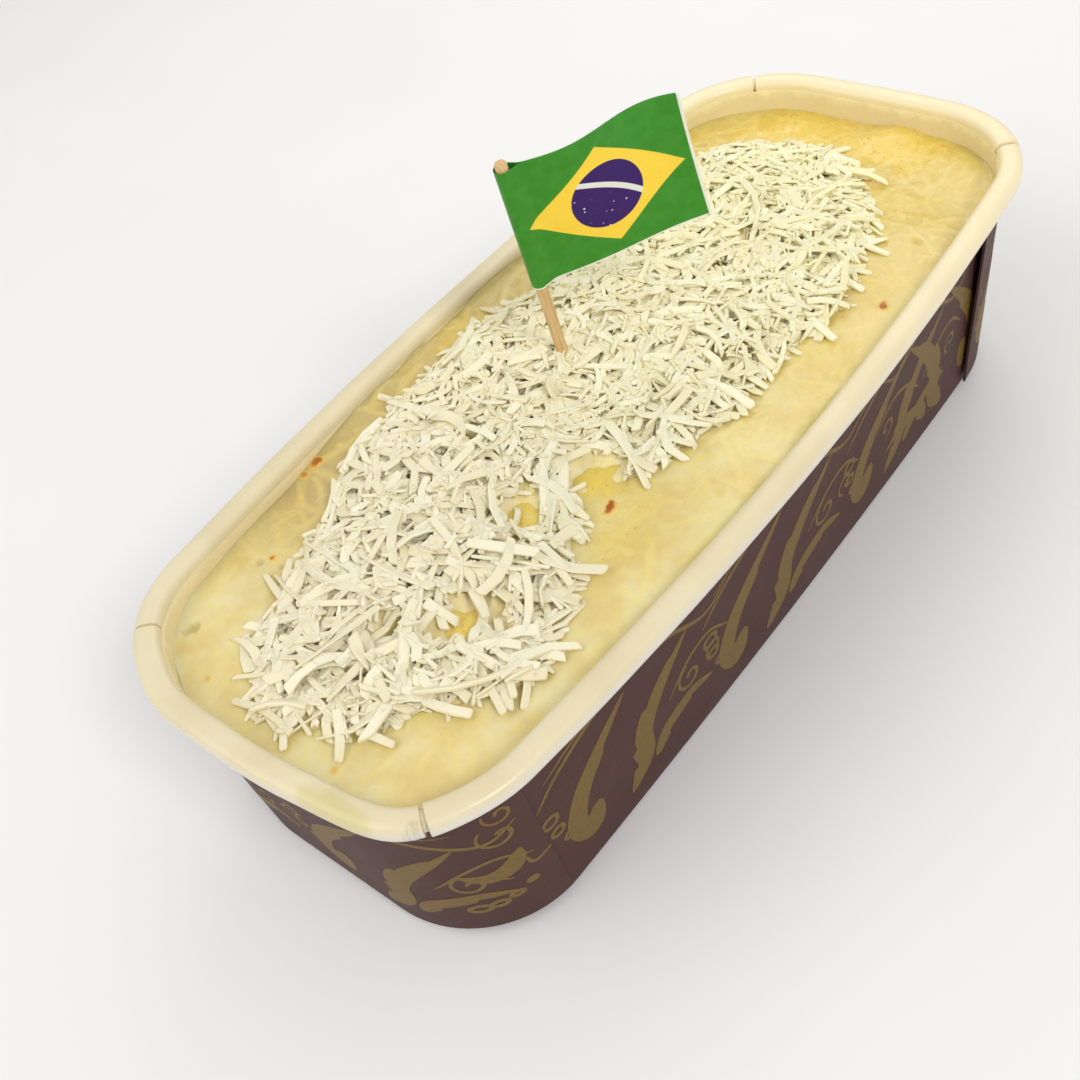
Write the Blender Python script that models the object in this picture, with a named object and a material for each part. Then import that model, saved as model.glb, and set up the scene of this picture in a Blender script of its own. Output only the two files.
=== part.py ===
"""Coconut cake baked in a rolled-rim paper loaf tray, topped with coconut and a paper flag.

Metres, +Z up. +X runs along the tray, and the origin is at the middle of its underside.
"""

import math
import random

import bmesh
import bpy
from mathutils import Matrix, Vector

MM = 0.001
QUARTER_TURN = math.pi / 2.0
SHARP_ANGLE = math.radians(35.0)

# Finishes
BOARD_COLOUR = (0.16, 0.10, 0.10)
CAKE_COLOUR = (0.72, 0.62, 0.33)
COCONUT_COLOUR = (0.88, 0.86, 0.78)
WOOD_COLOUR = (0.62, 0.42, 0.20)
FLAG_COLOUR = (0.06, 0.28, 0.06)

# Tray, measured over its rolled rim
RIM_HALF_LENGTH = 90.2 * MM
RIM_HALF_WIDTH = 40.0 * MM
RIM_MIDDLE = 41.95 * MM
ROLL_HALF_WIDTH = 2.2 * MM
ROLL_HALF_HEIGHT = 1.8 * MM
ROLL_START = -120.0
ROLL_STEPS = 11
ARC_STEP = 30.0
BOARD = 0.7 * MM
TOP_HALF_LENGTH = RIM_HALF_LENGTH - 2.0 * ROLL_HALF_WIDTH + BOARD
TOP_HALF_WIDTH = RIM_HALF_WIDTH - 2.0 * ROLL_HALF_WIDTH + BOARD
BASE_HALF_LENGTH = 83.1 * MM
BASE_HALF_WIDTH = 32.6 * MM
CORNER_RADIUS = 19.5 * MM
SIDE_BOW_TOP = 3.2 * MM
SIDE_BOW_BASE = 0.8 * MM
FOOT_ROUND = 2.0 * MM
FOOT_STEPS = 4
FOOT_CHAMFER = 0.4
HALF_HEIGHT = RIM_MIDDLE * 0.5
SIDE_STEPS = 12
CORNER_STEPS = 7
END_STEPS = 3

# Soft dents of the hand-folded rim: place, push outwards and reach
RIM_DENTS = (
    ((-85.5 * MM, -29.0 * MM), 1.4 * MM, 6.0 * MM),
    ((-89.5 * MM, -16.0 * MM), -1.0 * MM, 7.0 * MM),
    ((-87.5 * MM, 24.0 * MM), -0.8 * MM, 6.0 * MM),
    ((-90.0 * MM, 2.0 * MM), 0.3 * MM, 9.0 * MM),
    ((90.0 * MM, -3.0 * MM), 0.3 * MM, 13.0 * MM),
    ((73.0 * MM, 37.0 * MM), 0.8 * MM, 8.0 * MM),
)

# Where the rolled rim is split into its four stretches
RIM_SEAMS = (
    (-83.5 * MM, 29.5 * MM),
    (-84.5 * MM, -30.5 * MM),
    (81.5 * MM, -31.0 * MM),
    (84.5 * MM, 27.0 * MM),
)
SEAM_WIDTH = 0.6 * MM
SEAM_BITE = 0.3 * MM
SEAM_OVERRUN = 1.0 * MM

# End panels wrap the corners and lie over the long walls
WRAP_BOARD = 0.7 * MM
WRAP_SINK = 0.25 * MM
WRAP_FOOT = 2.6 * MM
WRAP_TOP = 38.6 * MM
NEAR_WRAP_EDGE = -68.1 * MM
FAR_WRAP_EDGE = 60.0 * MM
LOOSE_FLAP_LIFT = 1.4 * MM
LOOSE_FLAP_REACH = 16.0 * MM

# Cake: a dome along the tray, with a wide and a fine unevenness and one lump
GAP = 0.3 * MM
CAKE_MIDDLE = 41.4 * MM
CAKE_FALL = 4.2 * MM
CAKE_CORNER_FALL = 1.2 * MM
WIDE_BUMP = 0.35 * MM
WIDE_BUMP_PITCH = (9.0 * MM, 8.0 * MM)
WIDE_BUMP_SHIFT = (0.7, -0.4)
FINE_BUMP = 0.25 * MM
FINE_BUMP_PITCH = (5.2 * MM, 6.3 * MM)
CAKE_LUMP = ((83.0 * MM, -6.5 * MM), 1.8 * MM, 5.0 * MM)
CAKE_RINGS = 8

# Shredded coconut: the band's two edges, near end to far end
HEAP_LEFT_EDGE = (
    (-82.0 * MM, 3.0 * MM),
    (-75.0 * MM, 15.5 * MM),
    (-57.0 * MM, 20.5 * MM),
    (-32.0 * MM, 28.5 * MM),
    (14.0 * MM, 29.5 * MM),
    (50.0 * MM, 26.5 * MM),
    (66.0 * MM, 23.5 * MM),
    (73.0 * MM, 8.0 * MM),
)
HEAP_RIGHT_EDGE = (
    (-82.0 * MM, 3.0 * MM),
    (-74.0 * MM, -12.0 * MM),
    (-56.0 * MM, -26.5 * MM),
    (-42.0 * MM, -21.0 * MM),
    (-26.0 * MM, -11.5 * MM),
    (-17.0 * MM, -19.0 * MM),
    (0.0 * MM, -22.5 * MM),
    (30.0 * MM, -24.5 * MM),
    (52.0 * MM, -18.5 * MM),
    (68.0 * MM, -8.0 * MM),
    (73.0 * MM, 8.0 * MM),
)
HEAP_THICKNESS = 2.8 * MM
HEAP_END_SLOPE = 6.0
HEAP_SIDE_SLOPE = 4.0
HEAP_END_MARGIN = 0.02

# The packed core under the shreds that show
CORE_SHARE = 0.86
CORE_SIDE_MARGIN = 0.06
CORE_STATIONS = 26
CORE_LANES = 8
CORE_BASE = 0.25 * MM
CORE_BUMP = 0.35 * MM
CORE_BUMP_TURNS = (5.1, 3.7)
CORE_LEAST = 0.5 * MM
CORE_ROOT = 2.0 * MM

# The shreds, largest first
SHRED_COUNT = 185
LONG_SHREDS = 60
SHRED_LENGTHS = (15.0 * MM, 5.5 * MM)
SHRED_LENGTH_SPREAD = (0.8, 1.2)
SHRED_WIDTHS = (2.3 * MM, 1.5 * MM)
SHRED_THICKNESS = 0.9 * MM
SHRED_TAPER = 0.5
SHRED_PITCH = 0.16
SHRED_BEND = 0.16
SHRED_LIFT = (0.2 * MM, 0.7 * MM)
SHRED_SIDE_MARGIN = 0.04
SEED = 11

# Flag pick: a toothpick with a paper flag folded round its top
PICK_ENTRY = Vector((-3.0 * MM, 8.9 * MM, 44.5 * MM))
PICK_LEAN = Vector((-0.15, -0.05, 0.99)).normalized()
PICK_ABOVE = 40.5 * MM
PICK_BELOW = 24.0 * MM
PICK_RADIUS = 1.0 * MM
PICK_SIDES = 12
PICK_TIP = 7.0 * MM
PICK_TIP_SHARE = 0.25
FLAG_HOIST = 23.6 * MM
FLAG_FLY = 28.0 * MM
FLAG_PAPER = 0.36 * MM
FLAG_COLUMNS = 16
FLAG_WAVE = -2.0 * MM
FLAG_FOOT_WAVE = -0.5 * MM
FLAG_WAVE_TURN = 1.9 * math.pi
FLAG_BELOW_TOP = 0.9 * MM
FLAG_HEADING = Vector((0.80, -0.59, 0.09))
SLEEVE_SIDES = 16
BORE_OVERRUN = 2.0 * MM


def clear_scene():
    for old in list(bpy.data.objects):
        bpy.data.objects.remove(old, do_unlink=True)


def material(name, colour, roughness):
    """A plain finish in the piece's own colour."""
    made = bpy.data.materials.new(name)
    made.use_nodes = True
    shader = made.node_tree.nodes["Principled BSDF"]
    shader.inputs["Base Color"].default_value = (*colour, 1.0)
    shader.inputs["Roughness"].default_value = roughness
    shader.inputs["Metallic"].default_value = 0.0
    return made


def new_object(name, bm, finish=None):
    """A linked object from a bmesh, faces turned outwards."""
    bmesh.ops.recalc_face_normals(bm, faces=bm.faces)
    mesh = bpy.data.meshes.new(name)
    bm.to_mesh(mesh)
    bm.free()
    made = bpy.data.objects.new(name, mesh)
    bpy.context.collection.objects.link(made)
    if finish:
        mesh.materials.append(finish)
    return made


def arc(centre, radius, start, end, steps):
    """Points of an arc, without its last one."""
    points = []
    for step in range(steps):
        angle = start + (end - start) * step / steps
        points.append(centre + radius * Vector((math.cos(angle), math.sin(angle))))
    return points


def outline(half_length, half_width, bow, corner):
    """A rounded rectangle whose two long sides bow outwards, anticlockwise from the far end."""
    reach = half_length - corner
    flat = half_width - bow - corner
    bow_radius = (reach * reach + bow * bow) / (2.0 * bow)
    side_radius = bow_radius + corner
    tilt = math.asin(reach / bow_radius)
    side = Vector((0.0, flat + bow - bow_radius))
    quarter = QUARTER_TURN
    points = []
    for step in range(END_STEPS):
        points.append(Vector((half_length, flat * (2.0 * step / END_STEPS - 1.0))))
    points += arc(Vector((reach, flat)), corner, 0.0, quarter - tilt, CORNER_STEPS)
    points += arc(side, side_radius, quarter - tilt, quarter + tilt, SIDE_STEPS)
    points += arc(Vector((-reach, flat)), corner, quarter + tilt, 2.0 * quarter, CORNER_STEPS)
    for step in range(END_STEPS):
        points.append(Vector((-half_length, flat * (1.0 - 2.0 * step / END_STEPS))))
    points += arc(Vector((-reach, -flat)), corner, 2.0 * quarter, 3.0 * quarter - tilt, CORNER_STEPS)
    points += arc(-side, side_radius, 3.0 * quarter - tilt, 3.0 * quarter + tilt, SIDE_STEPS)
    points += arc(Vector((reach, -flat)), corner, 3.0 * quarter + tilt, 4.0 * quarter, CORNER_STEPS)
    return points


def wall_outline(height, offset):
    """The wall's outer face at a height, moved outwards by an offset, as points with a height."""
    rise = min(max(height / RIM_MIDDLE, 0.0), 1.0)
    half_length = BASE_HALF_LENGTH + (TOP_HALF_LENGTH - BASE_HALF_LENGTH) * rise + offset
    half_width = BASE_HALF_WIDTH + (TOP_HALF_WIDTH - BASE_HALF_WIDTH) * rise + offset
    bow = SIDE_BOW_BASE + (SIDE_BOW_TOP - SIDE_BOW_BASE) * rise
    points = []
    for flat in outline(half_length, half_width, bow, CORNER_RADIUS + offset):
        outward = flat.normalized()
        for place, push, reach in RIM_DENTS:
            away = (flat - Vector(place)).length / reach
            flat = flat + outward * push * rise * rise * math.exp(-away * away)
        points.append(Vector((flat.x, flat.y, height)))
    return points


def add_ring(bm, points):
    return [bm.verts.new(point) for point in points]


def bridge(bm, first, second):
    """Quads between two rings of as many points."""
    count = len(first)
    for index in range(count):
        after = (index + 1) % count
        bm.faces.new((first[index], first[after], second[after], second[index]))


def tray_profile():
    """Offset from the wall's outer face and height, from the underside round the roll to the floor."""
    profile = [(-FOOT_ROUND, 0.0)]
    for step in range(1, FOOT_STEPS):
        angle = math.radians(ARC_STEP * step) - QUARTER_TURN
        profile.append((FOOT_ROUND * (math.cos(angle) - 1.0), FOOT_ROUND * (math.sin(angle) + 1.0)))
    profile.append((0.0, HALF_HEIGHT))
    for step in range(ROLL_STEPS):
        angle = math.radians(ROLL_START + ARC_STEP * step)
        profile.append((
            ROLL_HALF_WIDTH * (1.0 + math.cos(angle)) - BOARD,
            RIM_MIDDLE + ROLL_HALF_HEIGHT * math.sin(angle),
        ))
    chamfer = FOOT_CHAMFER * FOOT_ROUND
    profile.append((-BOARD, HALF_HEIGHT))
    profile.append((-BOARD, BOARD + FOOT_ROUND))
    profile.append((-BOARD - chamfer, BOARD + chamfer))
    profile.append((-BOARD - FOOT_ROUND, BOARD))
    return profile


def make_tray_shell():
    """Walls, floor and rolled rim as one swept skin."""
    bm = bmesh.new()
    rings = [add_ring(bm, wall_outline(height, offset)) for offset, height in tray_profile()]
    for lower, upper in zip(rings, rings[1:]):
        bridge(bm, lower, upper)
    bm.faces.new(rings[0])
    bm.faces.new(rings[-1])
    return new_object("tray", bm, material("tray_board", BOARD_COLOUR, 0.6))


def wrap_stations(edge, end_sign):
    """Point numbers of the outline from just before one flap edge round an end to just past the other."""
    points = wall_outline(HALF_HEIGHT, 0.0)
    chosen = [i for i, point in enumerate(points) if end_sign * point.x > end_sign * edge]
    start = next(i for i in chosen if (i - 1) % len(points) not in chosen)
    return [(start - 1 + step) % len(points) for step in range(len(chosen) + 2)]


def wrap_line(stations, edge, height, offset):
    """The outline's points at the stations, with both ends brought to the flap edge."""
    points = wall_outline(height, offset)
    line = [points[station] for station in stations]
    for end, beside in ((0, 1), (-1, -2)):
        share = (edge - line[end].x) / (line[beside].x - line[end].x)
        line[end] = line[end].lerp(line[beside], share)
    return line


def make_wrap(name, edge, end_sign, lift):
    """An end panel's outer layer, whose flap edge on the near long wall may stand off by a lift."""
    stations = wrap_stations(edge, end_sign)
    bm = bmesh.new()
    sheets = []
    for height in (WRAP_FOOT, HALF_HEIGHT, WRAP_TOP):
        row = []
        inner_line = wrap_line(stations, edge, height, -WRAP_SINK)
        outer_line = wrap_line(stations, edge, height, WRAP_BOARD)
        for inner, outer in zip(inner_line, outer_line):
            loose = 0.0
            if inner.y < 0.0:
                along = (edge + LOOSE_FLAP_REACH - inner.x) / LOOSE_FLAP_REACH
                loose = lift * min(max(along, 0.0), 1.0) ** 2
            away = Vector((0.0, -loose, 0.0))
            row.append((bm.verts.new(inner + away), bm.verts.new(outer + away)))
        sheets.append(row)
    for lower, upper in zip(sheets, sheets[1:]):
        for a, b, c, d in zip(lower, lower[1:], upper[1:], upper):
            bm.faces.new((a[1], b[1], c[1], d[1]))
            bm.faces.new((a[0], d[0], c[0], b[0]))
        for a, d in ((lower[0], upper[0]), (upper[-1], lower[-1])):
            bm.faces.new((a[0], a[1], d[1], d[0]))
    for row, flip in ((sheets[0], False), (sheets[-1], True)):
        for a, b in zip(row, row[1:]):
            corners = (a[0], b[0], b[1], a[1])
            bm.faces.new(corners[::-1] if flip else corners)
    return new_object(name, bm)


def make_seam_cutter(name, place):
    """A thin block that parts the roll across its stretch and leaves the wall whole."""
    seam = Vector(place)
    corner = Vector((
        math.copysign(TOP_HALF_LENGTH - CORNER_RADIUS, seam.x),
        math.copysign(TOP_HALF_WIDTH - SIDE_BOW_TOP - CORNER_RADIUS, seam.y),
    ))
    outward = (seam - corner).normalized()
    wall = min(wall_outline(RIM_MIDDLE, 0.0), key=lambda point: (point.xy - seam).length)
    start = (wall.xy - corner).dot(outward) - SEAM_BITE
    reach = 2.0 * ROLL_HALF_WIDTH + 2.0 * SEAM_OVERRUN
    depth = 2.0 * ROLL_HALF_HEIGHT + 2.0 * SEAM_OVERRUN
    middle = corner + outward * (start + reach / 2.0)
    bm = bmesh.new()
    bmesh.ops.create_cube(bm, size=1.0)
    bmesh.ops.scale(bm, vec=(reach, SEAM_WIDTH, depth), verts=bm.verts)
    turn = Matrix.Rotation(math.atan2(outward.y, outward.x), 4, "Z")
    bmesh.ops.transform(bm, matrix=turn, verts=bm.verts)
    height = WRAP_TOP + SEAM_BITE + depth / 2.0
    bmesh.ops.translate(bm, vec=(middle.x, middle.y, height), verts=bm.verts)
    return new_object(name, bm)


def combine(target, others, operation):
    """Joins closed helpers to a closed target, or cuts them from it, and removes the helpers."""
    helpers = bpy.data.collections.new(target.name + "_helpers")
    bpy.context.scene.collection.children.link(helpers)
    for other in others:
        helpers.objects.link(other)
        bpy.context.collection.objects.unlink(other)
    boolean = target.modifiers.new("combine", "BOOLEAN")
    boolean.operand_type = "COLLECTION"
    boolean.collection = helpers
    boolean.operation = operation
    boolean.solver = "MANIFOLD"
    graph = bpy.context.evaluated_depsgraph_get()
    result = bpy.data.meshes.new_from_object(target.evaluated_get(graph))
    target.modifiers.remove(boolean)
    old = target.data
    target.data = result
    bpy.data.meshes.remove(old)
    result.name = target.name
    for other in others:
        bpy.data.objects.remove(other, do_unlink=True)
    bpy.data.collections.remove(helpers)


def keep_largest(target):
    """Drops loose scraps that a cut has left."""
    bm = bmesh.new()
    bm.from_mesh(target.data)
    unseen = set(bm.verts)
    groups = []
    while unseen:
        front = [unseen.pop()]
        group = list(front)
        while front:
            vertex = front.pop()
            for edge in vertex.link_edges:
                other = edge.other_vert(vertex)
                if other in unseen:
                    unseen.remove(other)
                    front.append(other)
                    group.append(other)
        groups.append(group)
    groups.sort(key=len)
    for group in groups[:-1]:
        bmesh.ops.delete(bm, geom=group, context="VERTS")
    bm.to_mesh(target.data)
    bm.free()


def make_tray():
    tray = make_tray_shell()
    wraps = [
        make_wrap("near_wrap", NEAR_WRAP_EDGE, -1.0, 0.0),
        make_wrap("far_wrap", FAR_WRAP_EDGE, 1.0, LOOSE_FLAP_LIFT),
    ]
    combine(tray, wraps, "UNION")
    cutters = [make_seam_cutter(f"seam_{index}", place) for index, place in enumerate(RIM_SEAMS)]
    combine(tray, cutters, "DIFFERENCE")
    keep_largest(tray)


def cake_top(x, y):
    """Height of the cake's uneven top."""
    along = x / RIM_HALF_LENGTH
    across = y / RIM_HALF_WIDTH
    height = CAKE_MIDDLE - CAKE_FALL * along * along - CAKE_CORNER_FALL * (along * across) ** 2
    wide_along = math.sin(x / WIDE_BUMP_PITCH[0] + WIDE_BUMP_SHIFT[0])
    wide_across = math.cos(y / WIDE_BUMP_PITCH[1] + WIDE_BUMP_SHIFT[1])
    height += WIDE_BUMP * wide_along * wide_across
    height += FINE_BUMP * math.sin(x / FINE_BUMP_PITCH[0] - y / FINE_BUMP_PITCH[1])
    (lump_x, lump_y), rise, reach = CAKE_LUMP
    away = math.hypot(x - lump_x, y - lump_y) / reach
    return height + rise * math.exp(-away * away)


def make_cake(name, lift, finish=None):
    """The cake's solid out to the tray's inner face, its top raised by a lift."""
    side = -BOARD - GAP
    floor = BOARD + GAP
    foot = FOOT_ROUND + GAP
    chamfer = FOOT_CHAMFER * foot
    bm = bmesh.new()
    rings = [
        add_ring(bm, wall_outline(floor, side - foot)),
        add_ring(bm, wall_outline(floor + chamfer, side - chamfer)),
        add_ring(bm, wall_outline(floor + foot, side)),
        add_ring(bm, wall_outline(HALF_HEIGHT, side)),
    ]
    rim = wall_outline(CAKE_MIDDLE - CAKE_FALL, side)
    for step in range(CAKE_RINGS, 0, -1):
        share = step / CAKE_RINGS
        ring = []
        for point in rim:
            x = point.x * share
            y = point.y * share
            ring.append(Vector((x, y, cake_top(x, y) + lift)))
        rings.append(add_ring(bm, ring))
    for lower, upper in zip(rings, rings[1:]):
        bridge(bm, lower, upper)
    bm.faces.new(rings[0])
    crown = bm.verts.new((0.0, 0.0, cake_top(0.0, 0.0) + lift))
    last = rings[-1]
    for index in range(len(last)):
        bm.faces.new((last[index], last[(index + 1) % len(last)], crown))
    return new_object(name, bm, finish)


def edge_at(edge, x):
    """Straight-line reading of one of the heap's edges at an x."""
    if x <= edge[0][0]:
        return edge[0][1]
    for (x0, y0), (x1, y1) in zip(edge, edge[1:]):
        if x <= x1:
            return y0 + (y1 - y0) * (x - x0) / (x1 - x0)
    return edge[-1][1]


def heap_place(along, across):
    """A point of the heap from its share along the band and from edge to edge, both 0 to 1."""
    x = HEAP_LEFT_EDGE[0][0] + (HEAP_LEFT_EDGE[-1][0] - HEAP_LEFT_EDGE[0][0]) * along
    low = edge_at(HEAP_RIGHT_EDGE, x)
    high = edge_at(HEAP_LEFT_EDGE, x)
    return x, low + (high - low) * across


def heap_depth(along, across):
    """How thick the coconut lies, thin at every edge."""
    ends = min(along, 1.0 - along) * HEAP_END_SLOPE
    sides = min(across, 1.0 - across) * HEAP_SIDE_SLOPE
    return HEAP_THICKNESS * math.sqrt(min(ends, 1.0) * min(sides, 1.0))


def inset(share, margin):
    """A share from 0 to 1 brought in from both ends by a margin."""
    return margin + (1.0 - 2.0 * margin) * share


def make_heap_core():
    """The packed coconut under the shreds that show, uneven on top."""
    bm = bmesh.new()
    floors = []
    tops = []
    for station in range(CORE_STATIONS + 1):
        along = inset(station / CORE_STATIONS, HEAP_END_MARGIN)
        floor_row = []
        top_row = []
        for lane in range(CORE_LANES + 1):
            across = inset(lane / CORE_LANES, CORE_SIDE_MARGIN)
            x, y = heap_place(along, across)
            depth = CORE_SHARE * heap_depth(along, across) + CORE_BASE
            bump_along = math.sin(CORE_BUMP_TURNS[0] * station)
            depth += CORE_BUMP * bump_along * math.cos(CORE_BUMP_TURNS[1] * lane)
            floor_row.append(bm.verts.new((x, y, cake_top(x, y) - CORE_ROOT)))
            top_row.append(bm.verts.new((x, y, cake_top(x, y) + GAP + max(depth, CORE_LEAST))))
        floors.append(floor_row)
        tops.append(top_row)
    for rows in (tops, floors):
        for near, far in zip(rows, rows[1:]):
            for a, b, c, d in zip(near, near[1:], far[1:], far):
                bm.faces.new((a, b, c, d))
    for lane in range(CORE_LANES):
        for station in (0, CORE_STATIONS):
            bm.faces.new((
                floors[station][lane], floors[station][lane + 1],
                tops[station][lane + 1], tops[station][lane],
            ))
    for station in range(CORE_STATIONS):
        for lane in (0, CORE_LANES):
            bm.faces.new((
                floors[station][lane], floors[station + 1][lane],
                tops[station + 1][lane], tops[station][lane],
            ))
    return new_object("coconut", bm, material("coconut", COCONUT_COLOUR, 0.75))


def make_shred(name, middle, heading, pitch, length, width, bend, stations):
    """A flat curved strip of coconut with blunt ends, from two or three stations."""
    bm = bmesh.new()
    rows = []
    for station in range(stations):
        share = station / (stations - 1) - 0.5
        taper = 1.0 - SHRED_TAPER * abs(share)
        centre = Vector((share * length, bend * (4.0 * share * share - 1.0), 0.0))
        half_width = 0.5 * width * taper
        half_depth = 0.5 * SHRED_THICKNESS * taper
        rows.append([
            bm.verts.new(centre + Vector((0.0, -half_width, -half_depth))),
            bm.verts.new(centre + Vector((0.0, half_width, -half_depth))),
            bm.verts.new(centre + Vector((0.0, half_width, half_depth))),
            bm.verts.new(centre + Vector((0.0, -half_width, half_depth))),
        ])
    for near, far in zip(rows, rows[1:]):
        bridge(bm, near, far)
    bm.faces.new(rows[0])
    bm.faces.new(rows[-1])
    turn = Matrix.Rotation(heading, 4, "Z") @ Matrix.Rotation(pitch, 4, "Y")
    bmesh.ops.transform(bm, matrix=Matrix.Translation(middle) @ turn, verts=bm.verts)
    return new_object(name, bm)


def halton(index, base):
    """Evenly spread shares between 0 and 1."""
    share = 0.0
    step = 1.0
    while index:
        step /= base
        share += step * (index % base)
        index //= base
    return share


def make_shreds():
    """Shreds spread evenly over the heap, the largest first."""
    draw = random.Random(SEED)
    shreds = []
    for index in range(SHRED_COUNT):
        along = inset(halton(index + 1, 2), HEAP_END_MARGIN)
        across = inset(halton(index + 1, 3), SHRED_SIDE_MARGIN)
        x, y = heap_place(along, across)
        small = index / SHRED_COUNT
        spread = small * draw.uniform(*SHRED_LENGTH_SPREAD)
        length = SHRED_LENGTHS[0] + (SHRED_LENGTHS[1] - SHRED_LENGTHS[0]) * spread
        width = SHRED_WIDTHS[0] + (SHRED_WIDTHS[1] - SHRED_WIDTHS[0]) * small
        height = cake_top(x, y) + GAP + heap_depth(along, across) * CORE_SHARE
        height += draw.uniform(*SHRED_LIFT)
        shreds.append(make_shred(
            f"shred_{index:03d}",
            Vector((x, y, height)),
            draw.uniform(0.0, math.pi),
            draw.uniform(-SHRED_PITCH, SHRED_PITCH),
            length,
            width,
            draw.uniform(-SHRED_BEND, SHRED_BEND) * length,
            3 if index < LONG_SHREDS else 2,
        ))
    return shreds


def make_rod(name, radius, below, above, sides, tip=0.0, finish=None):
    """A rod along the pick's lean, with an optional pointed lower end."""
    bm = bmesh.new()
    stations = [(-below, radius * PICK_TIP_SHARE if tip else radius), (above, radius)]
    if tip:
        stations.insert(1, (-below + tip, radius))
    across = PICK_LEAN.cross(Vector((0.0, 1.0, 0.0))).normalized()
    up = PICK_LEAN.cross(across)
    rings = []
    for along, size in stations:
        ring = []
        for step in range(sides):
            angle = 2.0 * math.pi * step / sides
            spoke = across * math.cos(angle) + up * math.sin(angle)
            ring.append(PICK_ENTRY + PICK_LEAN * along + spoke * size)
        rings.append(add_ring(bm, ring))
    for lower, upper in zip(rings, rings[1:]):
        bridge(bm, lower, upper)
    bm.faces.new(rings[0])
    bm.faces.new(rings[-1])
    return new_object(name, bm, finish)


def cut_pick_hole(target):
    """Clears the pick's way through a piece of the food."""
    cutter = make_rod("pick_hole", PICK_RADIUS + GAP, PICK_BELOW + GAP, PICK_ABOVE, PICK_SIDES)
    combine(target, [cutter], "DIFFERENCE")
    keep_largest(target)


def make_coconut():
    """Core and shreds fused, cut off just above the cake."""
    heap = make_heap_core()
    combine(heap, make_shreds(), "UNION")
    combine(heap, [make_cake("raised_cake", GAP)], "DIFFERENCE")
    keep_largest(heap)
    cut_pick_hole(heap)


def make_pick():
    finish = material("pick_wood", WOOD_COLOUR, 0.6)
    make_rod("pick", PICK_RADIUS, PICK_BELOW, PICK_ABOVE, PICK_SIDES, PICK_TIP, finish)


def flag_point(along_fly, along_pick, off):
    """A point of the flag's sheet from the stick outwards, in its slow wave, strongest at the top."""
    heading = (FLAG_HEADING - PICK_LEAN * FLAG_HEADING.dot(PICK_LEAN)).normalized()
    face = PICK_LEAN.cross(heading)
    share = along_fly / FLAG_FLY
    rise = (along_pick - PICK_ABOVE + FLAG_BELOW_TOP + FLAG_HOIST) / FLAG_HOIST
    depth = FLAG_FOOT_WAVE + (FLAG_WAVE - FLAG_FOOT_WAVE) * rise
    wave = depth * math.sin(FLAG_WAVE_TURN * share) * math.sqrt(share)
    return PICK_ENTRY + PICK_LEAN * along_pick + heading * along_fly + face * (off + wave)


def make_flag():
    """A folded paper flag: a sleeve round the stick and a gently waved sheet."""
    top = PICK_ABOVE - FLAG_BELOW_TOP
    foot = top - FLAG_HOIST
    start = PICK_RADIUS + GAP + 0.5 * FLAG_PAPER
    bm = bmesh.new()
    rows = []
    for column in range(FLAG_COLUMNS + 1):
        along = start + (FLAG_FLY - start) * column / FLAG_COLUMNS
        rows.append([
            bm.verts.new(flag_point(along, foot, -0.5 * FLAG_PAPER)),
            bm.verts.new(flag_point(along, top, -0.5 * FLAG_PAPER)),
            bm.verts.new(flag_point(along, top, 0.5 * FLAG_PAPER)),
            bm.verts.new(flag_point(along, foot, 0.5 * FLAG_PAPER)),
        ])
    for near, far in zip(rows, rows[1:]):
        bridge(bm, near, far)
    bm.faces.new(rows[0])
    bm.faces.new(rows[-1])
    flag = new_object("flag", bm, material("flag_paper", FLAG_COLOUR, 0.6))
    bore_radius = PICK_RADIUS + GAP
    sleeve = make_rod("sleeve", bore_radius + FLAG_PAPER, -foot, top, SLEEVE_SIDES)
    combine(flag, [sleeve], "UNION")
    bore = make_rod("bore", bore_radius, BORE_OVERRUN - foot, top + BORE_OVERRUN, SLEEVE_SIDES)
    combine(flag, [bore], "DIFFERENCE")
    keep_largest(flag)


def main():
    clear_scene()
    make_tray()
    cake = make_cake("cake", 0.0, material("cake", CAKE_COLOUR, 0.35))
    cut_pick_hole(cake)
    make_coconut()
    make_pick()
    make_flag()
    for made in bpy.data.objects:
        made.data.shade_smooth()
        made.data.set_sharp_from_angle(angle=SHARP_ANGLE)


main()
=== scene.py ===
# %% [markdown]
# A small coconut cake stands in the paper tray that it was baked in. The tray is dark brown board
# with a gold ornament, cream inside, and its rim is rolled outwards by a machine. A band of shredded
# coconut lies along the cake, and a paper flag on a toothpick stands in it.
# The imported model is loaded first, because its solids say where every piece goes. Each new piece
# below stands for one of them and keeps its place and size.

# %% Load the frame
import math

import bmesh
import bpy
import numpy as np
from mathutils import Matrix, Quaternion, Vector


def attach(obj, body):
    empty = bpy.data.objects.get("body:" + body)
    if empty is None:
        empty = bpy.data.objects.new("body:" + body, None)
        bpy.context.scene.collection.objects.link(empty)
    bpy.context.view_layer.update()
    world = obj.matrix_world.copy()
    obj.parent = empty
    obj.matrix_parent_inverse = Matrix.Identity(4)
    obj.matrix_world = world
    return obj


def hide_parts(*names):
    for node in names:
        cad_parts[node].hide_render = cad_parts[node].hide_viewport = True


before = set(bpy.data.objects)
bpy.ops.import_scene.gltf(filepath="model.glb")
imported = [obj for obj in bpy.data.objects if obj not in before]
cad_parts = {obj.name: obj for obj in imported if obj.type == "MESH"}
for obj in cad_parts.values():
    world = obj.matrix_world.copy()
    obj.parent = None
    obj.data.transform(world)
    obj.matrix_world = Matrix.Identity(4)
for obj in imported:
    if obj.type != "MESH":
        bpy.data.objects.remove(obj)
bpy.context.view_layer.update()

MM = 0.001
BODY = "root"

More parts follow.
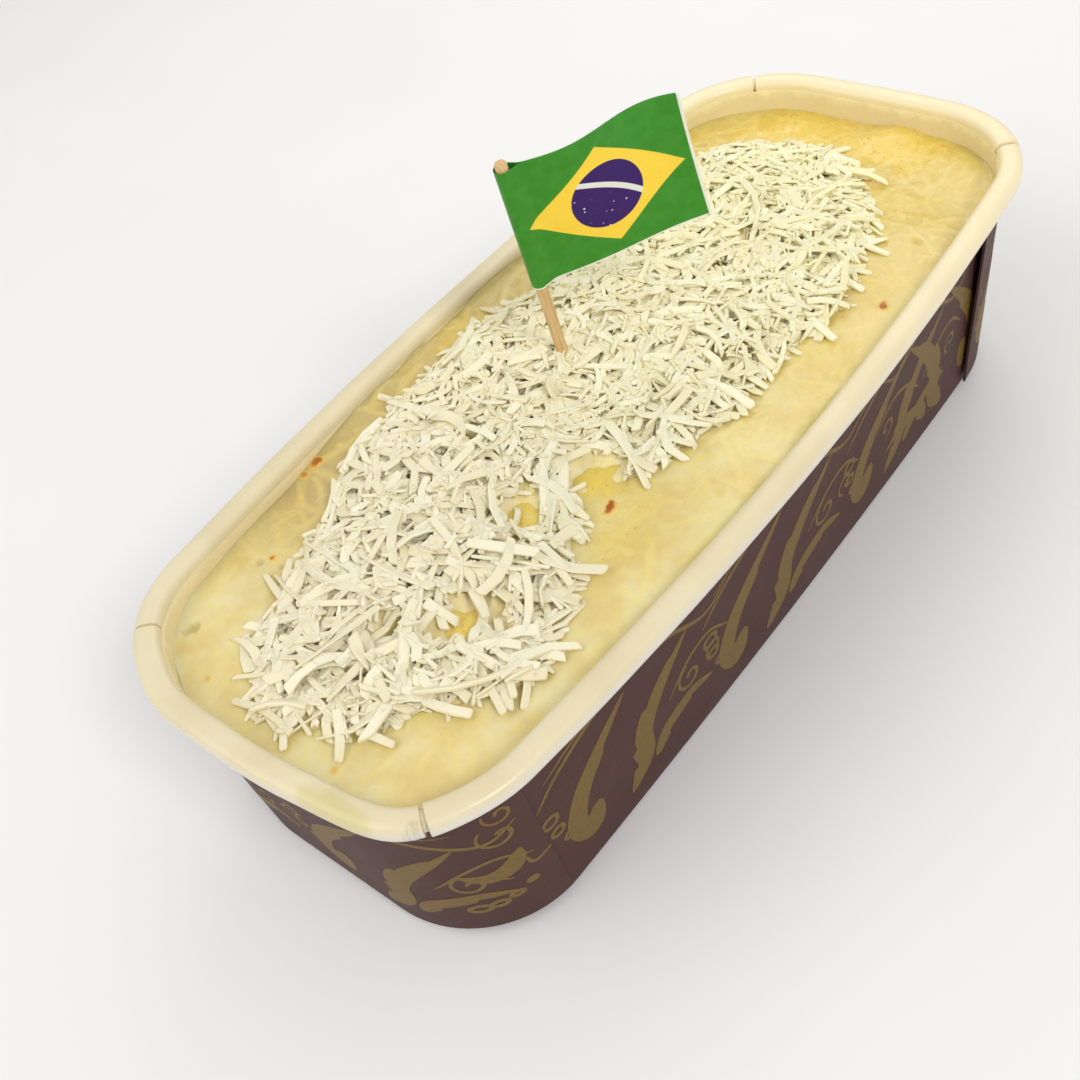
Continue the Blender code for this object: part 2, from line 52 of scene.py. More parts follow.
# %% [markdown]
# The photograph looks down on the near end of the tray, and the camera is rolled a little. A camera
# is turned by giving its line of sight first and its roll after that, because a single rotation is
# hard to read. The place and the line of sight were fitted to the tray's outlines.

# %% Camera
CAMERA_PLACE = Vector((-125.22, -115, 183.54)) * MM
CAMERA_SIGHT = Vector((0.44998, 0.524204, -0.722999))
CAMERA_ROLL = math.radians(-15.43)
CAMERA_LENS = 43.996


def show(name, data):
    """A new object in the scene, at the origin."""
    thing = bpy.data.objects.new(name, data)
    bpy.context.scene.collection.objects.link(thing)
    return thing


def aim(thing, place, sight, roll=0):
    """Puts a camera or a lamp in its place and turns it to its line of sight."""
    thing.location = place
    thing.rotation_mode = "QUATERNION"
    thing.rotation_quaternion = sight.to_track_quat("-Z", "Y") @ Quaternion((0, 0, 1), roll)


lens = bpy.data.cameras.new("camera")
lens.lens = CAMERA_LENS
lens.sensor_width = 36
lens.clip_start = 0.01
camera = show("camera", lens)
aim(camera, CAMERA_PLACE, CAMERA_SIGHT, CAMERA_ROLL)
bpy.context.scene.camera = camera
print("camera", round(CAMERA_PLACE.length / MM), "mm from the tray's middle")

# %% [markdown]
# Shader maths reads best as plain arithmetic. The class below wraps one socket, and adding or
# multiplying two of them adds a Math node. Every other node comes from one method of the finish, which
# sets the node's own settings first and then its sockets.

# %% Finishes written as arithmetic
def arithmetic(operation, swapped=False):
    """A method that adds one Math node."""
    def method(self, other=0):
        pair = {0: other, 1: self} if swapped else {0: self, 1: other}
        return self.finish.add("ShaderNodeMath", {"operation": operation}, pair)
    return method


class Wire:
    """A socket of one finish that can be added, multiplied and compared."""

    __add__ = __radd__ = arithmetic("ADD")
    __sub__ = arithmetic("SUBTRACT")
    __rsub__ = arithmetic("SUBTRACT", True)
    __mul__ = __rmul__ = arithmetic("MULTIPLY")
    __truediv__ = arithmetic("DIVIDE")
    __pow__ = arithmetic("POWER")
    __abs__ = arithmetic("ABSOLUTE")
    least = arithmetic("MINIMUM")

    def __init__(self, finish, socket):
        self.finish = finish
        self.socket = socket

    def ramp(self, low, high):
        """0 below low and 1 above high, smooth between them."""
        sockets = {0: self, 1: low, 2: high, 3: 0, 4: 1}
        settings = {"interpolation_type": "SMOOTHSTEP", "clamp": True}
        if low > high:
            sockets.update({1: high, 2: low, 3: 1, 4: 0})
        return self.finish.add("ShaderNodeMapRange", settings, sockets)


class Finish:
    """A Principled material whose nodes are made by one method."""

    def __init__(self, name, **constants):
        self.material = bpy.data.materials.new(name)
        self.material.use_nodes = True
        self.nodes = self.material.node_tree.nodes
        self.links = self.material.node_tree.links
        self.shader = self.nodes["Principled BSDF"]
        for socket, value in constants.items():
            self.set(socket.replace("_", " ").title(), value)

    def join(self, value, socket):
        if isinstance(value, Wire):
            self.links.new(value.socket, socket)
        elif isinstance(value, tuple) and len(value) == 3 and socket.type == "RGBA":
            socket.default_value = (*value, 1)
        else:
            socket.default_value = value

    def set(self, name, value):
        self.join(value, self.shader.inputs[name.replace("Ior", "IOR")])

    def add(self, kind, settings, sockets, out=0):
        node = self.nodes.new(kind)
        for key, value in settings.items():
            setattr(node, key, value)
        for key, value in sockets.items():
            self.join(value, node.inputs[key])
        return Wire(self, node.outputs[out])

    def place(self, scale=(1, 1, 1), turn=(0, 0, 0)):
        """Object coordinates in millimetres, stretched and turned."""
        here = self.add("ShaderNodeTexCoord", {}, {}, "Object")
        sockets = {"Vector": here, "Rotation": turn, "Scale": tuple(s / MM for s in scale)}
        return self.add("ShaderNodeMapping", {"vector_type": "POINT"}, sockets)

    def noise(self, where, scale, detail=2, roughness=0.5, distortion=0):
        sockets = {"Vector": where, "Scale": scale, "Detail": detail, "Roughness": roughness}
        sockets["Distortion"] = distortion
        return self.add("ShaderNodeTexNoise", {}, sockets)

    def axis(self, where, letter):
        return self.add("ShaderNodeSeparateXYZ", {}, {0: where}, letter)

    def read(self, name):
        """A number that the mesh keeps at its points."""
        return self.add("ShaderNodeAttribute", {"attribute_name": name}, {}, "Fac")

    def blend(self, factor, low, high):
        """The low colour where the factor is 0 and the high one where it is 1."""
        return self.add("ShaderNodeMix", {"data_type": "RGBA"}, {0: factor, 6: low, 7: high}, 2)

    def layers(self, colour, *covers):
        """Colours laid one over another, each where its own factor is 1."""
        for factor, cover in covers:
            colour = self.blend(factor, colour, cover)
        return colour

    def bump(self, height, distance, strength=1, under=None):
        sockets = {"Height": height, "Distance": distance, "Strength": strength}
        if under:
            sockets["Normal"] = under
        return self.add("ShaderNodeBump", {}, sockets)


print("a finish starts with", len(Finish("trial").nodes), "nodes")
bpy.data.materials.remove(bpy.data.materials["trial"])

# %% [markdown]
# Every piece is finished the same way. It gets its material and smooth shading, rides on the one body
# and hides the solid that it stands for. A chart of smooth random hills is kept here too, because the
# cake and the coconut both use it.

# %% Finishing a piece
SHARP = math.radians(40)


def to_mesh(name, bm):
    mesh = bpy.data.meshes.new(name)
    bm.to_mesh(mesh)
    bm.free()
    return mesh


def settle_mesh(name, mesh, finish, node):
    """Makes an object of a mesh, puts it on the body and hides the solid that it stands for."""
    mesh.materials.append(finish.material)
    mesh.shade_smooth()
    mesh.set_sharp_from_angle(angle=SHARP)
    piece = show(name, mesh)
    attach(piece, BODY)
    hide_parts(node)
    mesh.calc_loop_triangles()
    print(name, len(mesh.loop_triangles), "triangles")


def settle(name, bm, finish, node):
    bmesh.ops.recalc_face_normals(bm, faces=bm.faces)
    settle_mesh(name, to_mesh(name, bm), finish, node)


def chart(x, y, pitch, seed):
    """Smooth random hills from -1 to 1 with about one to each pitch."""
    table = np.random.default_rng(seed).uniform(-1, 1, (64, 64))
    across, along = x / pitch, y / pitch
    i, j = np.floor(across).astype(int), np.floor(along).astype(int)
    s, t = across - i, along - j
    s, t = s * s * (3 - 2 * s), t * t * (3 - 2 * t)
    near = table[i % 64, j % 64] * (1 - s) + table[(i + 1) % 64, j % 64] * s
    far = table[i % 64, (j + 1) % 64] * (1 - s) + table[(i + 1) % 64, (j + 1) % 64] * s
    return near * (1 - t) + far * t


TRIAL_PLACES = np.linspace(0, 9, 90)
trial_hills = chart(TRIAL_PLACES, TRIAL_PLACES, 1, 1)
print("a chart runs from", round(trial_hills.min(), 2), "to", round(trial_hills.max(), 2))

# %% [markdown]
# The tray's wall is a rounded rectangle whose long sides bow outwards, a little larger at the top than
# at the foot. One function gives that outline at any height, from the same sizes as the solids, and a
# second one turns a place along the wall and a height into a point in space. The wall, the print on
# it, the flaps and the rim all use them, so they fit each other without any adjusting.

# %% The wall's outline
RIM_HALF = Vector((90.2, 40)) * MM
RIM_MIDDLE = 41.95 * MM
ROLL_HALF_WIDTH = 2.2 * MM
ROLL_HALF_HEIGHT = 1.8 * MM
BOARD = 0.7 * MM
TOP_HALF = (RIM_HALF.x - 2 * ROLL_HALF_WIDTH + BOARD, RIM_HALF.y - 2 * ROLL_HALF_WIDTH + BOARD)
BASE_HALF = (83.1 * MM, 32.6 * MM)
CORNER = 19.5 * MM
BOW_TOP = 3.2 * MM
BOW_BASE = 0.8 * MM
END_STEPS, CORNER_STEPS, SIDE_STEPS = 12, 26, 72
DENTS = (
    (-85.5, -29, 1.4, 6), (-89.5, -16, -1, 7), (-87.5, 24, -0.8, 6), (-90, 2, 0.3, 9),
    (90, -3, 0.3, 13), (73, 37, 0.8, 8),
)


def around(centre, reach, turn, squash=1):
    """Points at distances and angles round a centre."""
    return np.array(centre) + np.stack([reach * np.cos(turn), squash * reach * np.sin(turn)], 1)


def arc(centre, radius, start, end, steps):
    return around(centre, radius, start + (end - start) * np.arange(steps) / steps)


def dented(flat, rise):
    """Points moved by the soft dents pressed into the rim."""
    flat = flat.copy()
    outward = flat / np.maximum(np.linalg.norm(flat, axis=-1, keepdims=True), MM)
    for x, y, push, reach in DENTS:
        away = np.linalg.norm(flat - np.array((x, y)) * MM, axis=-1) / (reach * MM)
        flat += outward * (push * MM * rise * rise * np.exp(-away * away))[..., None]
    return flat


def outline(height, offset=0):
    """The wall's outer face at a height, anticlockwise from the far end."""
    rise = min(max(height / RIM_MIDDLE, 0), 1)
    half_length = BASE_HALF[0] + (TOP_HALF[0] - BASE_HALF[0]) * rise + offset
    half_width = BASE_HALF[1] + (TOP_HALF[1] - BASE_HALF[1]) * rise + offset
    bow = BOW_BASE + (BOW_TOP - BOW_BASE) * rise
    corner = CORNER + offset
    reach, flat = half_length - corner, half_width - bow - corner
    bow_radius = (reach * reach + bow * bow) / (2 * bow)
    tilt = math.asin(reach / bow_radius)
    side, turn = flat + bow - bow_radius, math.pi / 2
    end = flat * (2 * np.arange(END_STEPS) / END_STEPS - 1)
    half = np.concatenate([
        np.stack([np.full(END_STEPS, half_length), end], 1),
        arc((reach, flat), corner, 0, turn - tilt, CORNER_STEPS),
        arc((0, side), bow_radius + corner, turn - tilt, turn + tilt, SIDE_STEPS),
        arc((-reach, flat), corner, turn + tilt, 2 * turn, CORNER_STEPS),
    ])
    points = np.concatenate([half, -half])
    return dented(points, np.full(len(points), rise))


LEVELS = np.linspace(0, RIM_MIDDLE, 13)
SHEET = np.array([outline(level) for level in LEVELS])
SHEET = np.concatenate([SHEET, SHEET[:, :1]], 1)
STEPS_ROUND = SHEET.shape[1] - 1
MIDDLE_RING = SHEET[len(LEVELS) // 2]
RUN = np.concatenate([[0], np.cumsum(np.linalg.norm(np.diff(MIDDLE_RING, axis=0), axis=1))])
ROUND = RUN[-1]


def at_station(station, height, out):
    """Points of the wall from outline numbers, heights and distances outwards."""
    station = np.mod(station, STEPS_ROUND)
    i = np.floor(station).astype(int)
    share = (station - i)[..., None]
    level = np.clip(height / RIM_MIDDLE, 0, 1) * (len(LEVELS) - 1)
    k = np.minimum(np.floor(level).astype(int), len(LEVELS) - 2)
    lift = (level - k)[..., None]
    flat = (SHEET[k, i] * (1 - share) + SHEET[k, i + 1] * share) * (1 - lift)
    flat += (SHEET[k + 1, i] * (1 - share) + SHEET[k + 1, i + 1] * share) * lift
    along = SHEET[k, i + 1] - SHEET[k, i]
    ahead = SHEET[k, (i + 1) % STEPS_ROUND + 1] - SHEET[k, (i + 1) % STEPS_ROUND]
    along = along * (1 - share) + ahead * share
    along /= np.linalg.norm(along, axis=-1, keepdims=True)
    flat += np.stack([along[..., 1], -along[..., 0]], -1) * np.asarray(out)[..., None]
    return np.concatenate([flat, np.broadcast_to(height, flat.shape[:-1])[..., None]], -1)


def on_wall(run, height, out):
    """Points of the wall from lengths along it, heights and distances outwards."""
    return at_station(np.interp(np.mod(run, ROUND), RUN, np.arange(STEPS_ROUND + 1)), height, out)


print("once round the wall is", round(ROUND / MM, 1), "mm")

# %% [markdown]
# A tray wall is best drawn once as a chain of points and then extruded ring by ring, as a potter pulls
# a pot up. Each new vertex remembers its number in the chain, so it can be sent to its own place.

# %% Lofting chains of points
def grow(bm, edges):
    """Extrudes a chain of edges and returns its new points and its new edges."""
    grown = bmesh.ops.extrude_edge_only(bm, edges=edges)["geom"]
    fresh = {item for item in grown if isinstance(item, bmesh.types.BMVert)}
    chain = [item for item in grown if isinstance(item, bmesh.types.BMEdge)]
    return fresh, [edge for edge in chain if fresh.issuperset(edge.verts)]


def loft(rings, closed=True):
    """Extrudes the first chain of points through the others."""
    bm = bmesh.new()
    number = bm.verts.layers.int.new("number")
    chain = []
    for index, point in enumerate(rings[0]):
        vertex = bm.verts.new(point)
        vertex[number] = index
        chain.append(vertex)
    first = [bm.edges.new(pair) for pair in zip(chain, chain[1:])]
    if closed:
        first.append(bm.edges.new((chain[-1], chain[0])))
    edges = first
    for ring in rings[1:]:
        fresh, edges = grow(bm, edges)
        for vertex in fresh:
            vertex.co = ring[vertex[number]]
    return bm, first, edges


def close_ends(bm, *loops):
    for loop in loops:
        bmesh.ops.contextual_create(bm, geom=loop)


def boundary(bm):
    return [edge for edge in bm.edges if edge.is_boundary]


def points_of(bm):
    return np.array([vertex.co for vertex in bm.verts])


def send(bm, points):
    for vertex, point in zip(bm.verts, points):
        vertex.co = point


def unit_grid(columns, rows):
    """A square grid from -1 to 1, and the two coordinates of its points."""
    bm = bmesh.new()
    bmesh.ops.create_grid(bm, x_segments=columns, y_segments=rows, size=1)
    points = points_of(bm)
    return bm, points[:, 0], points[:, 1]


trial, u, v = unit_grid(4, 3)
grow(trial, boundary(trial))
print("a small grid grown once at its edge has", len(trial.verts), "points")
trial.free()

# %% [markdown]
# The board is laminated: printed brown paper outside and a cream grease-proof lining inside. Both are
# thin cups, one in the other, so that each can have its own finish. A cup is one profile, up the
# outside, over the edge and down the inside, swept round the outline.

# %% Brown board finish
BROWN = (0.070, 0.029, 0.024)
BROWN_LIGHT = (0.094, 0.045, 0.037)


def brown_board(name):
    """Uncoated printed board: faint fibre mottling, soft scuffs and a low sheen."""
    board = Finish(name, roughness=0.5, specular_ior_level=0.16)
    where = board.place()
    cloud = board.noise(where, 0.09, 3)
    fibre = board.noise(board.place((1, 1, 2.6)), 2.2, 3, 0.6)
    scuff = board.noise(where, 0.5, 4, 0.7).ramp(0.60, 0.78)
    shade = (cloud * 0.7 + fibre * 0.4 - 0.2).ramp(0.1, 0.9)
    scuffed = (scuff * 0.22, (0.17, 0.115, 0.10))
    board.set("Base Color", board.layers(BROWN, (shade, BROWN_LIGHT), scuffed))
    board.set("Roughness", 0.46 + fibre * 0.16)
    board.set("Normal", board.bump(fibre, 0.00004, 0.6, board.bump(cloud, 0.0006, 0.5)))
    return board


BOARD_FINISH = brown_board("printed_brown_board")
print("the board's finish has", len(BOARD_FINISH.nodes), "nodes")

# %% Outer board
FOOT = 2 * MM
PLY = 0.36 * MM


def cup_profile(outside, floor, top):
    """Offsets and heights up the outside of a thin cup, over its edge and down to its floor."""
    def foot(less, turns):
        turns = np.radians(turns)
        across = outside - less + FOOT * (np.cos(turns) - 1)
        return list(zip(across, floor + less + FOOT * (np.sin(turns) + 1)))
    rise = np.linspace(floor + FOOT, top, 12)[1:]
    walls = [(outside, height) for height in rise] + [(outside - PLY, height) for height in rise[::-1]]
    return foot(0, np.arange(-90, 1, 22.5)) + walls + foot(PLY, np.arange(0, -91, -22.5))


STATIONS = np.arange(STEPS_ROUND)


def make_cup(name, outside, floor, top, finish):
    profile = cup_profile(outside, floor, top)
    bm, *ends = loft([
        at_station(STATIONS, np.full(STEPS_ROUND, height), offset) for offset, height in profile
    ])
    close_ends(bm, *ends)
    settle(name, bm, finish, "tray")


make_cup("outer_board", 0, 0, RIM_MIDDLE - 0.3 * MM, BOARD_FINISH)

# %% [markdown]
# The lining is coated cream white. Where the batter rose against it, a thin film of fat and milk has
# dried on: yellower, glossier and ragged at its upper edge. The film is a band of height, torn up by
# noise, that feeds the colour and the roughness together.

# %% Cream lining
CREAM = (0.86, 0.76, 0.50)
FILM = (0.80, 0.665, 0.36)


def cream_lining(name):
    lining = Finish(name, roughness=0.35, specular_ior_level=0.5)
    where = lining.place()
    ragged = lining.noise(where, 0.22, 4, 0.65)
    up = lining.axis(where, "Z")
    film = (up + ragged * 5).ramp(45.2, 42.6)
    mottle = lining.noise(where, 0.05, 2)
    cream = lining.blend(mottle.ramp(0.35, 0.65), CREAM, (0.90, 0.82, 0.56))
    # Painted light: the lining turns paler and warmer towards the far end, standing in for the
    # stronger light on the far inner wall.
    far = lining.axis(where, "X").ramp(10, 88)
    covers = ((far * 0.8, (1, 0.89, 0.52)), (film * 0.75, FILM))
    lining.set("Base Color", lining.layers(cream, *covers))
    lining.set("Roughness", 0.42 - film * 0.24)
    drips = lining.noise(lining.place((1, 1, 0.4)), 0.9, 3)
    lining.set("Normal", lining.bump(drips * film, 0.0003, 0.6))
    return lining


make_cup("cream_lining", -PLY, PLY, RIM_MIDDLE - 0.2 * MM, cream_lining("cream_lining"))

# %% [markdown]
# At both ends a panel folds round the corners and lies over the long walls. Its cut edge shows as a
# fine line near the near corner. At the far corner the glue has let go, and the flap stands off the
# wall with a dark slit behind it. A flap is a strip of the wall, extruded in height and thickened.

# %% End panels
WRAP_FOOT, WRAP_TOP = 2.6 * MM, 39.6 * MM
NEAR_EDGE, FAR_EDGE = -68.1 * MM, 60 * MM
FLAP_THICK = 0.5 * MM
FLAP_LIFT, FLAP_REACH = 1.4 * MM, 16 * MM
FLAP_LEAN = 3.5 * MM


def edge_run(edge, right):
    """Length along the wall at which its middle height passes an x, on the right or the left side."""
    chosen = MIDDLE_RING[:, 1] < 0 if right else MIDDLE_RING[:, 1] > 0
    along, runs = MIDDLE_RING[chosen, 0], RUN[chosen]
    order = np.argsort(along)
    return float(np.interp(edge, along[order], runs[order]))


def flap_place(run, height, out, right_edge, lift):
    """A point of an end panel, which may stand off near its right edge."""
    points = on_wall(run, height, out)
    if lift:
        near = np.clip(1 - (run - right_edge) / FLAP_REACH, 0, 1)
        points[..., 1] -= lift * near ** 2 * (0.7 + 0.3 * height / WRAP_TOP)
    return points


def make_flap(name, start, end, lift, lean):
    """A strip of board from one length along the wall to another, in rings from its foot upwards."""
    columns = int((end - start) / (1.3 * MM))
    heights = np.linspace(WRAP_FOOT, WRAP_TOP, 12)
    share = np.linspace(0, 1, columns)
    rings = []
    for out, levels in ((FLAP_THICK, heights), (0.03 * MM, heights[::-1])):
        for height in levels:
            left = start + lean * (1 - height / WRAP_TOP)
            run = left + (end - left) * share
            rings.append(flap_place(run, np.full(columns, height), out, start, lift))
    bm, first, last = loft(rings, closed=False)
    bmesh.ops.bridge_loops(bm, edges=first + last)
    bmesh.ops.holes_fill(bm, edges=boundary(bm), sides=0)
    settle(name, bm, BOARD_FINISH, "tray")


NEAR_RIGHT, NEAR_LEFT = edge_run(NEAR_EDGE, True), edge_run(NEAR_EDGE, False)
FAR_RIGHT, FAR_LEFT = edge_run(FAR_EDGE, True), edge_run(FAR_EDGE, False)
make_flap("near_end_panel", NEAR_LEFT, NEAR_RIGHT, 0, 0)
make_flap("far_end_panel", FAR_RIGHT, FAR_LEFT + ROUND, FLAP_LIFT, FLAP_LEAN)

# %% [markdown]
# The rim is the same board rolled outwards into a tube, cut into four stretches that meet at the
# corners. The pinched end of each is tucked into the next, so only a fine dark line shows there. The
# section is a thick letter C that starts at the wall, goes over the top and tucks in below. A
# machine-rolled rim is flatter outside than a true circle, so its corners are squared a little.

# %% Rim finish
def glazed_rim(name):
    rim = Finish(name, roughness=0.3, coat_weight=0.2, coat_roughness=0.2)
    where = rim.place()
    along = rim.axis(where, "X")
    across = rim.axis(where, "Y")
    cloud = rim.noise(where, 0.07, 3)
    cream = rim.blend(cloud.ramp(0.3, 0.7), (0.74, 0.64, 0.41), (0.80, 0.71, 0.48))
    stain_x = (along + 88.4) / 2.6
    stain_y = (across + 18.8) / 6.4
    ragged = rim.noise(where, 0.35, 3) * 1.1
    stain = (stain_x * stain_x + stain_y * stain_y + ragged).ramp(2.1, 0.8)
    rim.set("Base Color", rim.layers(
        cream,
        # painted sheen: the outer side of the roll is painted a paler, greyer cream
        (rim.read("outside"), (0.76, 0.71, 0.62)),
        # painted light: the cream turns paler towards the far end, where more light falls
        (along.ramp(-30, 85) * 0.85, (0.955, 0.83, 0.525)),
        (stain * 0.6, (0.62, 0.55, 0.20)),
    ))
    rim.set("Roughness", 0.30 + rim.noise(where, 0.8, 3) * 0.16)
    crinkle_x, crinkle_y = along + 85, across + 30.3
    near = (crinkle_x * crinkle_x + crinkle_y * crinkle_y).ramp(6, 2)
    sockets = {"W": along - across, "Scale": 1.6}
    pleats = rim.add("ShaderNodeTexNoise", {"noise_dimensions": "1D"}, sockets) * near
    soft = rim.bump(cloud, 0.0009, 0.5, rim.bump(rim.noise(where, 1.1, 2), 0.00012, 0.5))
    rim.set("Normal", rim.bump(pleats, 0.0007, 0.8, soft))
    return rim


RIM_FINISH = glazed_rim("glazed_rim")
print("the rim's finish has", len(RIM_FINISH.nodes), "nodes")

# %% Rolled rim
SEAM_PLACES = ((-81, 29), (-84.6, -30.6), (81.2, -31.2), (84.6, 27))
SEAM_GAP = 0.65 * MM
TUCK = 1.5 * MM
SWAY = 0.03 * MM
ROLL_BOARD = 0.5 * MM
SECTION_STEPS = 22


def roll_section(swell):
    """Distances outwards and up of the C-shaped section, round its outside and back inside."""
    outer = []
    inner = []
    for step in range(SECTION_STEPS + 1):
        turn = math.radians(205 - 330 * step / SECTION_STEPS)
        across, up = math.cos(turn), math.sin(turn)
        square = (abs(across) ** 3 + abs(up) ** 3) ** (-1 / 3)
        for side, less in ((outer, 0), (inner, ROLL_BOARD)):
            side.append((
                ROLL_HALF_WIDTH - BOARD + (ROLL_HALF_WIDTH - less) * across * square * swell,
                (ROLL_HALF_HEIGHT - less) * up * square * swell,
            ))
    return outer + inner[::-1]


def seam_run(place):
    ring = SHEET[-1]
    return RUN[np.argmin(np.linalg.norm(ring - np.array(place) * MM, axis=1))]


def make_rim(name, start, end):
    """One rolled stretch between two seams, its pinched end tucked into the next."""
    count = int((end - start) / (1.1 * MM))
    runs = np.append(np.linspace(start, end, count), [end + 0.02 * MM, end + TUCK])
    rings = []
    for run in runs:
        lead = math.exp(-(run - start) / (1.6 * MM))
        tail = math.exp(-(end - run) / (1.6 * MM))
        slow, quick = math.sin(run / (11 * MM)), math.sin(run / (3.7 * MM))
        swell = 0.975 + 0.018 * slow + 0.007 * quick - 0.07 * tail
        section = np.array(roll_section(0.64 if run > end else min(swell + 0.02 * lead, 1)))
        sway = SWAY * math.sin(run / (17 * MM) + 1)
        rings.append([
            on_wall(np.array(run), np.array(RIM_MIDDLE), np.array(out + sway)) + np.array((0, 0, up))
            for out, up in section
        ])
    bm, *ends = loft(rings)
    close_ends(bm, *ends)
    number = bm.verts.layers.int["number"]
    # A mask of the section's outer side, along which the rim's finish paints a painted sheen.
    outside = bm.verts.layers.float.new("outside")
    for vertex in bm.verts:
        step = vertex[number] / SECTION_STEPS
        vertex[outside] = min(max((step - 0.52) / 0.10, 0), 1)
    settle(name, bm, RIM_FINISH, "tray")


seams = sorted(seam_run(place) for place in SEAM_PLACES)
for index, (start, end) in enumerate(zip(seams, seams[1:] + [seams[0] + ROUND])):
    make_rim(f"rolled_rim_{index}", start + SEAM_GAP / 2, end - SEAM_GAP / 2)

# %% [markdown]
# The gold ornament is printed: flat leaves with torn edges, tapering stems, spirals and strings of
# rings. Each is a ribbon about a centre line with a half-width at every step, laid out flat in
# millimetres along and up the wall. It is thickened by a hair and then sent onto the wall, so that
# it follows the corners and the flaps. The layout repeats one spray of motifs in different sizes.

# %% Ribbons of print
INK = 0.03 * MM
CELL = 1.2
LIFTED = 100
PRINT_FOOT, PRINT_TOP = 3, 39.4


def curve(points, steps):
    """A smooth line through a few points."""
    points = np.asarray(points, float)
    padded = np.concatenate([2 * points[:1] - points[1:2], points, 2 * points[-1:] - points[-2:-1]])
    place = np.linspace(0, len(points) - 1, steps + 1)
    i = np.minimum(place.astype(int), len(points) - 2)
    t = (place - i)[:, None]
    before, a, b, after = (padded[i + k] for k in range(4))
    bend = 2 * before - 5 * a + 4 * b - after
    twist = 3 * a - before - 3 * b + after
    return 0.5 * (2 * a + (b - before) * t + bend * t * t + twist * t ** 3)


class Print:
    """Ribbons of ink in flat millimetres, later laid on a stretch of the wall."""

    def __init__(self):
        self.bm = bmesh.new()
        self.layer = 0

    def ribbon(self, centre, left, right):
        """Centre-line points with a half-width to each side."""
        centre = np.asarray(centre, float)
        along = np.gradient(centre, axis=0)
        along /= np.maximum(np.linalg.norm(along, axis=1, keepdims=True), 1e-9)
        sideways = np.stack([-along[:, 1], along[:, 0]], 1)
        lanes = max(2, int(np.ceil((np.max(left) + np.max(right)) / CELL)) + 1)
        self.layer += 1
        height = 1 + 0.02 * (self.layer % 20)
        rows = []
        for share in np.linspace(0, 1, lanes):
            offset = np.asarray(left) * (1 - share) - np.asarray(right) * share
            row = centre + sideways * offset[:, None]
            rows.append([self.bm.verts.new((x, y, height)) for x, y in row])
        for low, high in zip(rows, rows[1:]):
            for a, b, c, d in zip(low, low[1:], high[1:], high):
                self.bm.faces.new((a, b, c, d))

    def stem(self, points, width):
        """A smooth line through a few points, thin at both ends."""
        centre = curve(points, 40)
        share = np.linspace(0, 1, len(centre))
        half = 0.5 * width * (0.25 + 0.75 * np.sin(np.pi * share) ** 0.6)
        self.ribbon(centre, half, half)

    def spiral(self, centre, radius, turns, start, facing, width):
        """A scroll that winds in to a small knob."""
        share = np.linspace(0, 1, int(26 * turns) + 8)
        turn = math.radians(start) + facing * 2 * np.pi * turns * share
        reach = radius * (1 - 0.86 * share)
        knob = 0.5 * share ** 6
        half = 0.5 * width * (0.45 + 0.55 * np.sin(np.pi * share) ** 0.5 + knob)
        self.ribbon(around(centre, reach, turn), half, half)

    def ring(self, centre, radius, width, squash=1):
        turn = np.linspace(0, 2 * np.pi, 25)
        half = np.full(len(turn), 0.5 * width)
        self.ribbon(around(centre, radius, turn, squash), half, half)

    def leaf(self, points, width, fullest=0.5, lobes=0, facing=1):
        """A curved leaf with a fullest place, one edge smooth and one torn into lobes."""
        centre = curve(points, 40)
        share = np.linspace(0, 1, len(centre))
        shape = np.sin(np.pi * share ** (math.log(0.5) / math.log(fullest))) ** 0.75
        full = 0.5 * width * shape + 0.10
        smooth = full * (1 + 0.07 * np.sin(9 * share))
        tear = (share * lobes + 0.25) % 1
        lobed = full * (0.72 + 0.62 * tear ** 0.6) if lobes else full
        self.ribbon(centre, smooth if facing > 0 else lobed, lobed if facing > 0 else smooth)

    def lay(self, name, finish, low, high, place):
        """Cuts the print off outside a stretch of wall, thickens it and sends it onto the wall."""
        bm = self.bm
        cuts = (((low, 0, 0), (-1, 0, 0)), ((high, 0, 0), (1, 0, 0)),
                ((0, PRINT_FOOT, 0), (0, -1, 0)), ((0, PRINT_TOP, 0), (0, 1, 0)))
        for point, outward in cuts:
            geometry = bm.verts[:] + bm.edges[:] + bm.faces[:]
            bmesh.ops.bisect_plane(
                bm, geom=geometry, plane_co=point, plane_no=outward, clear_outer=True
            )
        grown = bmesh.ops.extrude_face_region(bm, geom=bm.faces[:])["geom"]
        for item in grown:
            if isinstance(item, bmesh.types.BMVert):
                item.co.z += LIFTED
        bmesh.ops.recalc_face_normals(bm, faces=bm.faces)
        flat = points_of(bm)
        ink = np.where(flat[:, 2] > LIFTED / 2, (flat[:, 2] - LIFTED) * INK, 0)
        send(bm, place(flat[:, 0] * MM, flat[:, 1] * MM, ink))
        settle_mesh(name, to_mesh(name, bm), finish, "tray")


def gold_ink(name):
    """Dull bronze ink with a faint metal sheen, thin where the press was dry."""
    gold = Finish(name, roughness=0.45, specular_ior_level=0.2)
    where = gold.place()
    grain = gold.noise(where, 1.6, 4, 0.7)
    colour = gold.blend(grain.ramp(0.35, 0.7), (0.150, 0.088, 0.020), (0.200, 0.124, 0.030))
    gold.set("Base Color", colour)
    gold.set("Roughness", 0.38 + grain * 0.2)
    gold.set("Normal", gold.bump(gold.noise(where, 2.2, 3), 0.00003, 0.5))
    return gold


GOLD = gold_ink("gold_ink")
print("the ink's finish has", len(GOLD.nodes), "nodes")

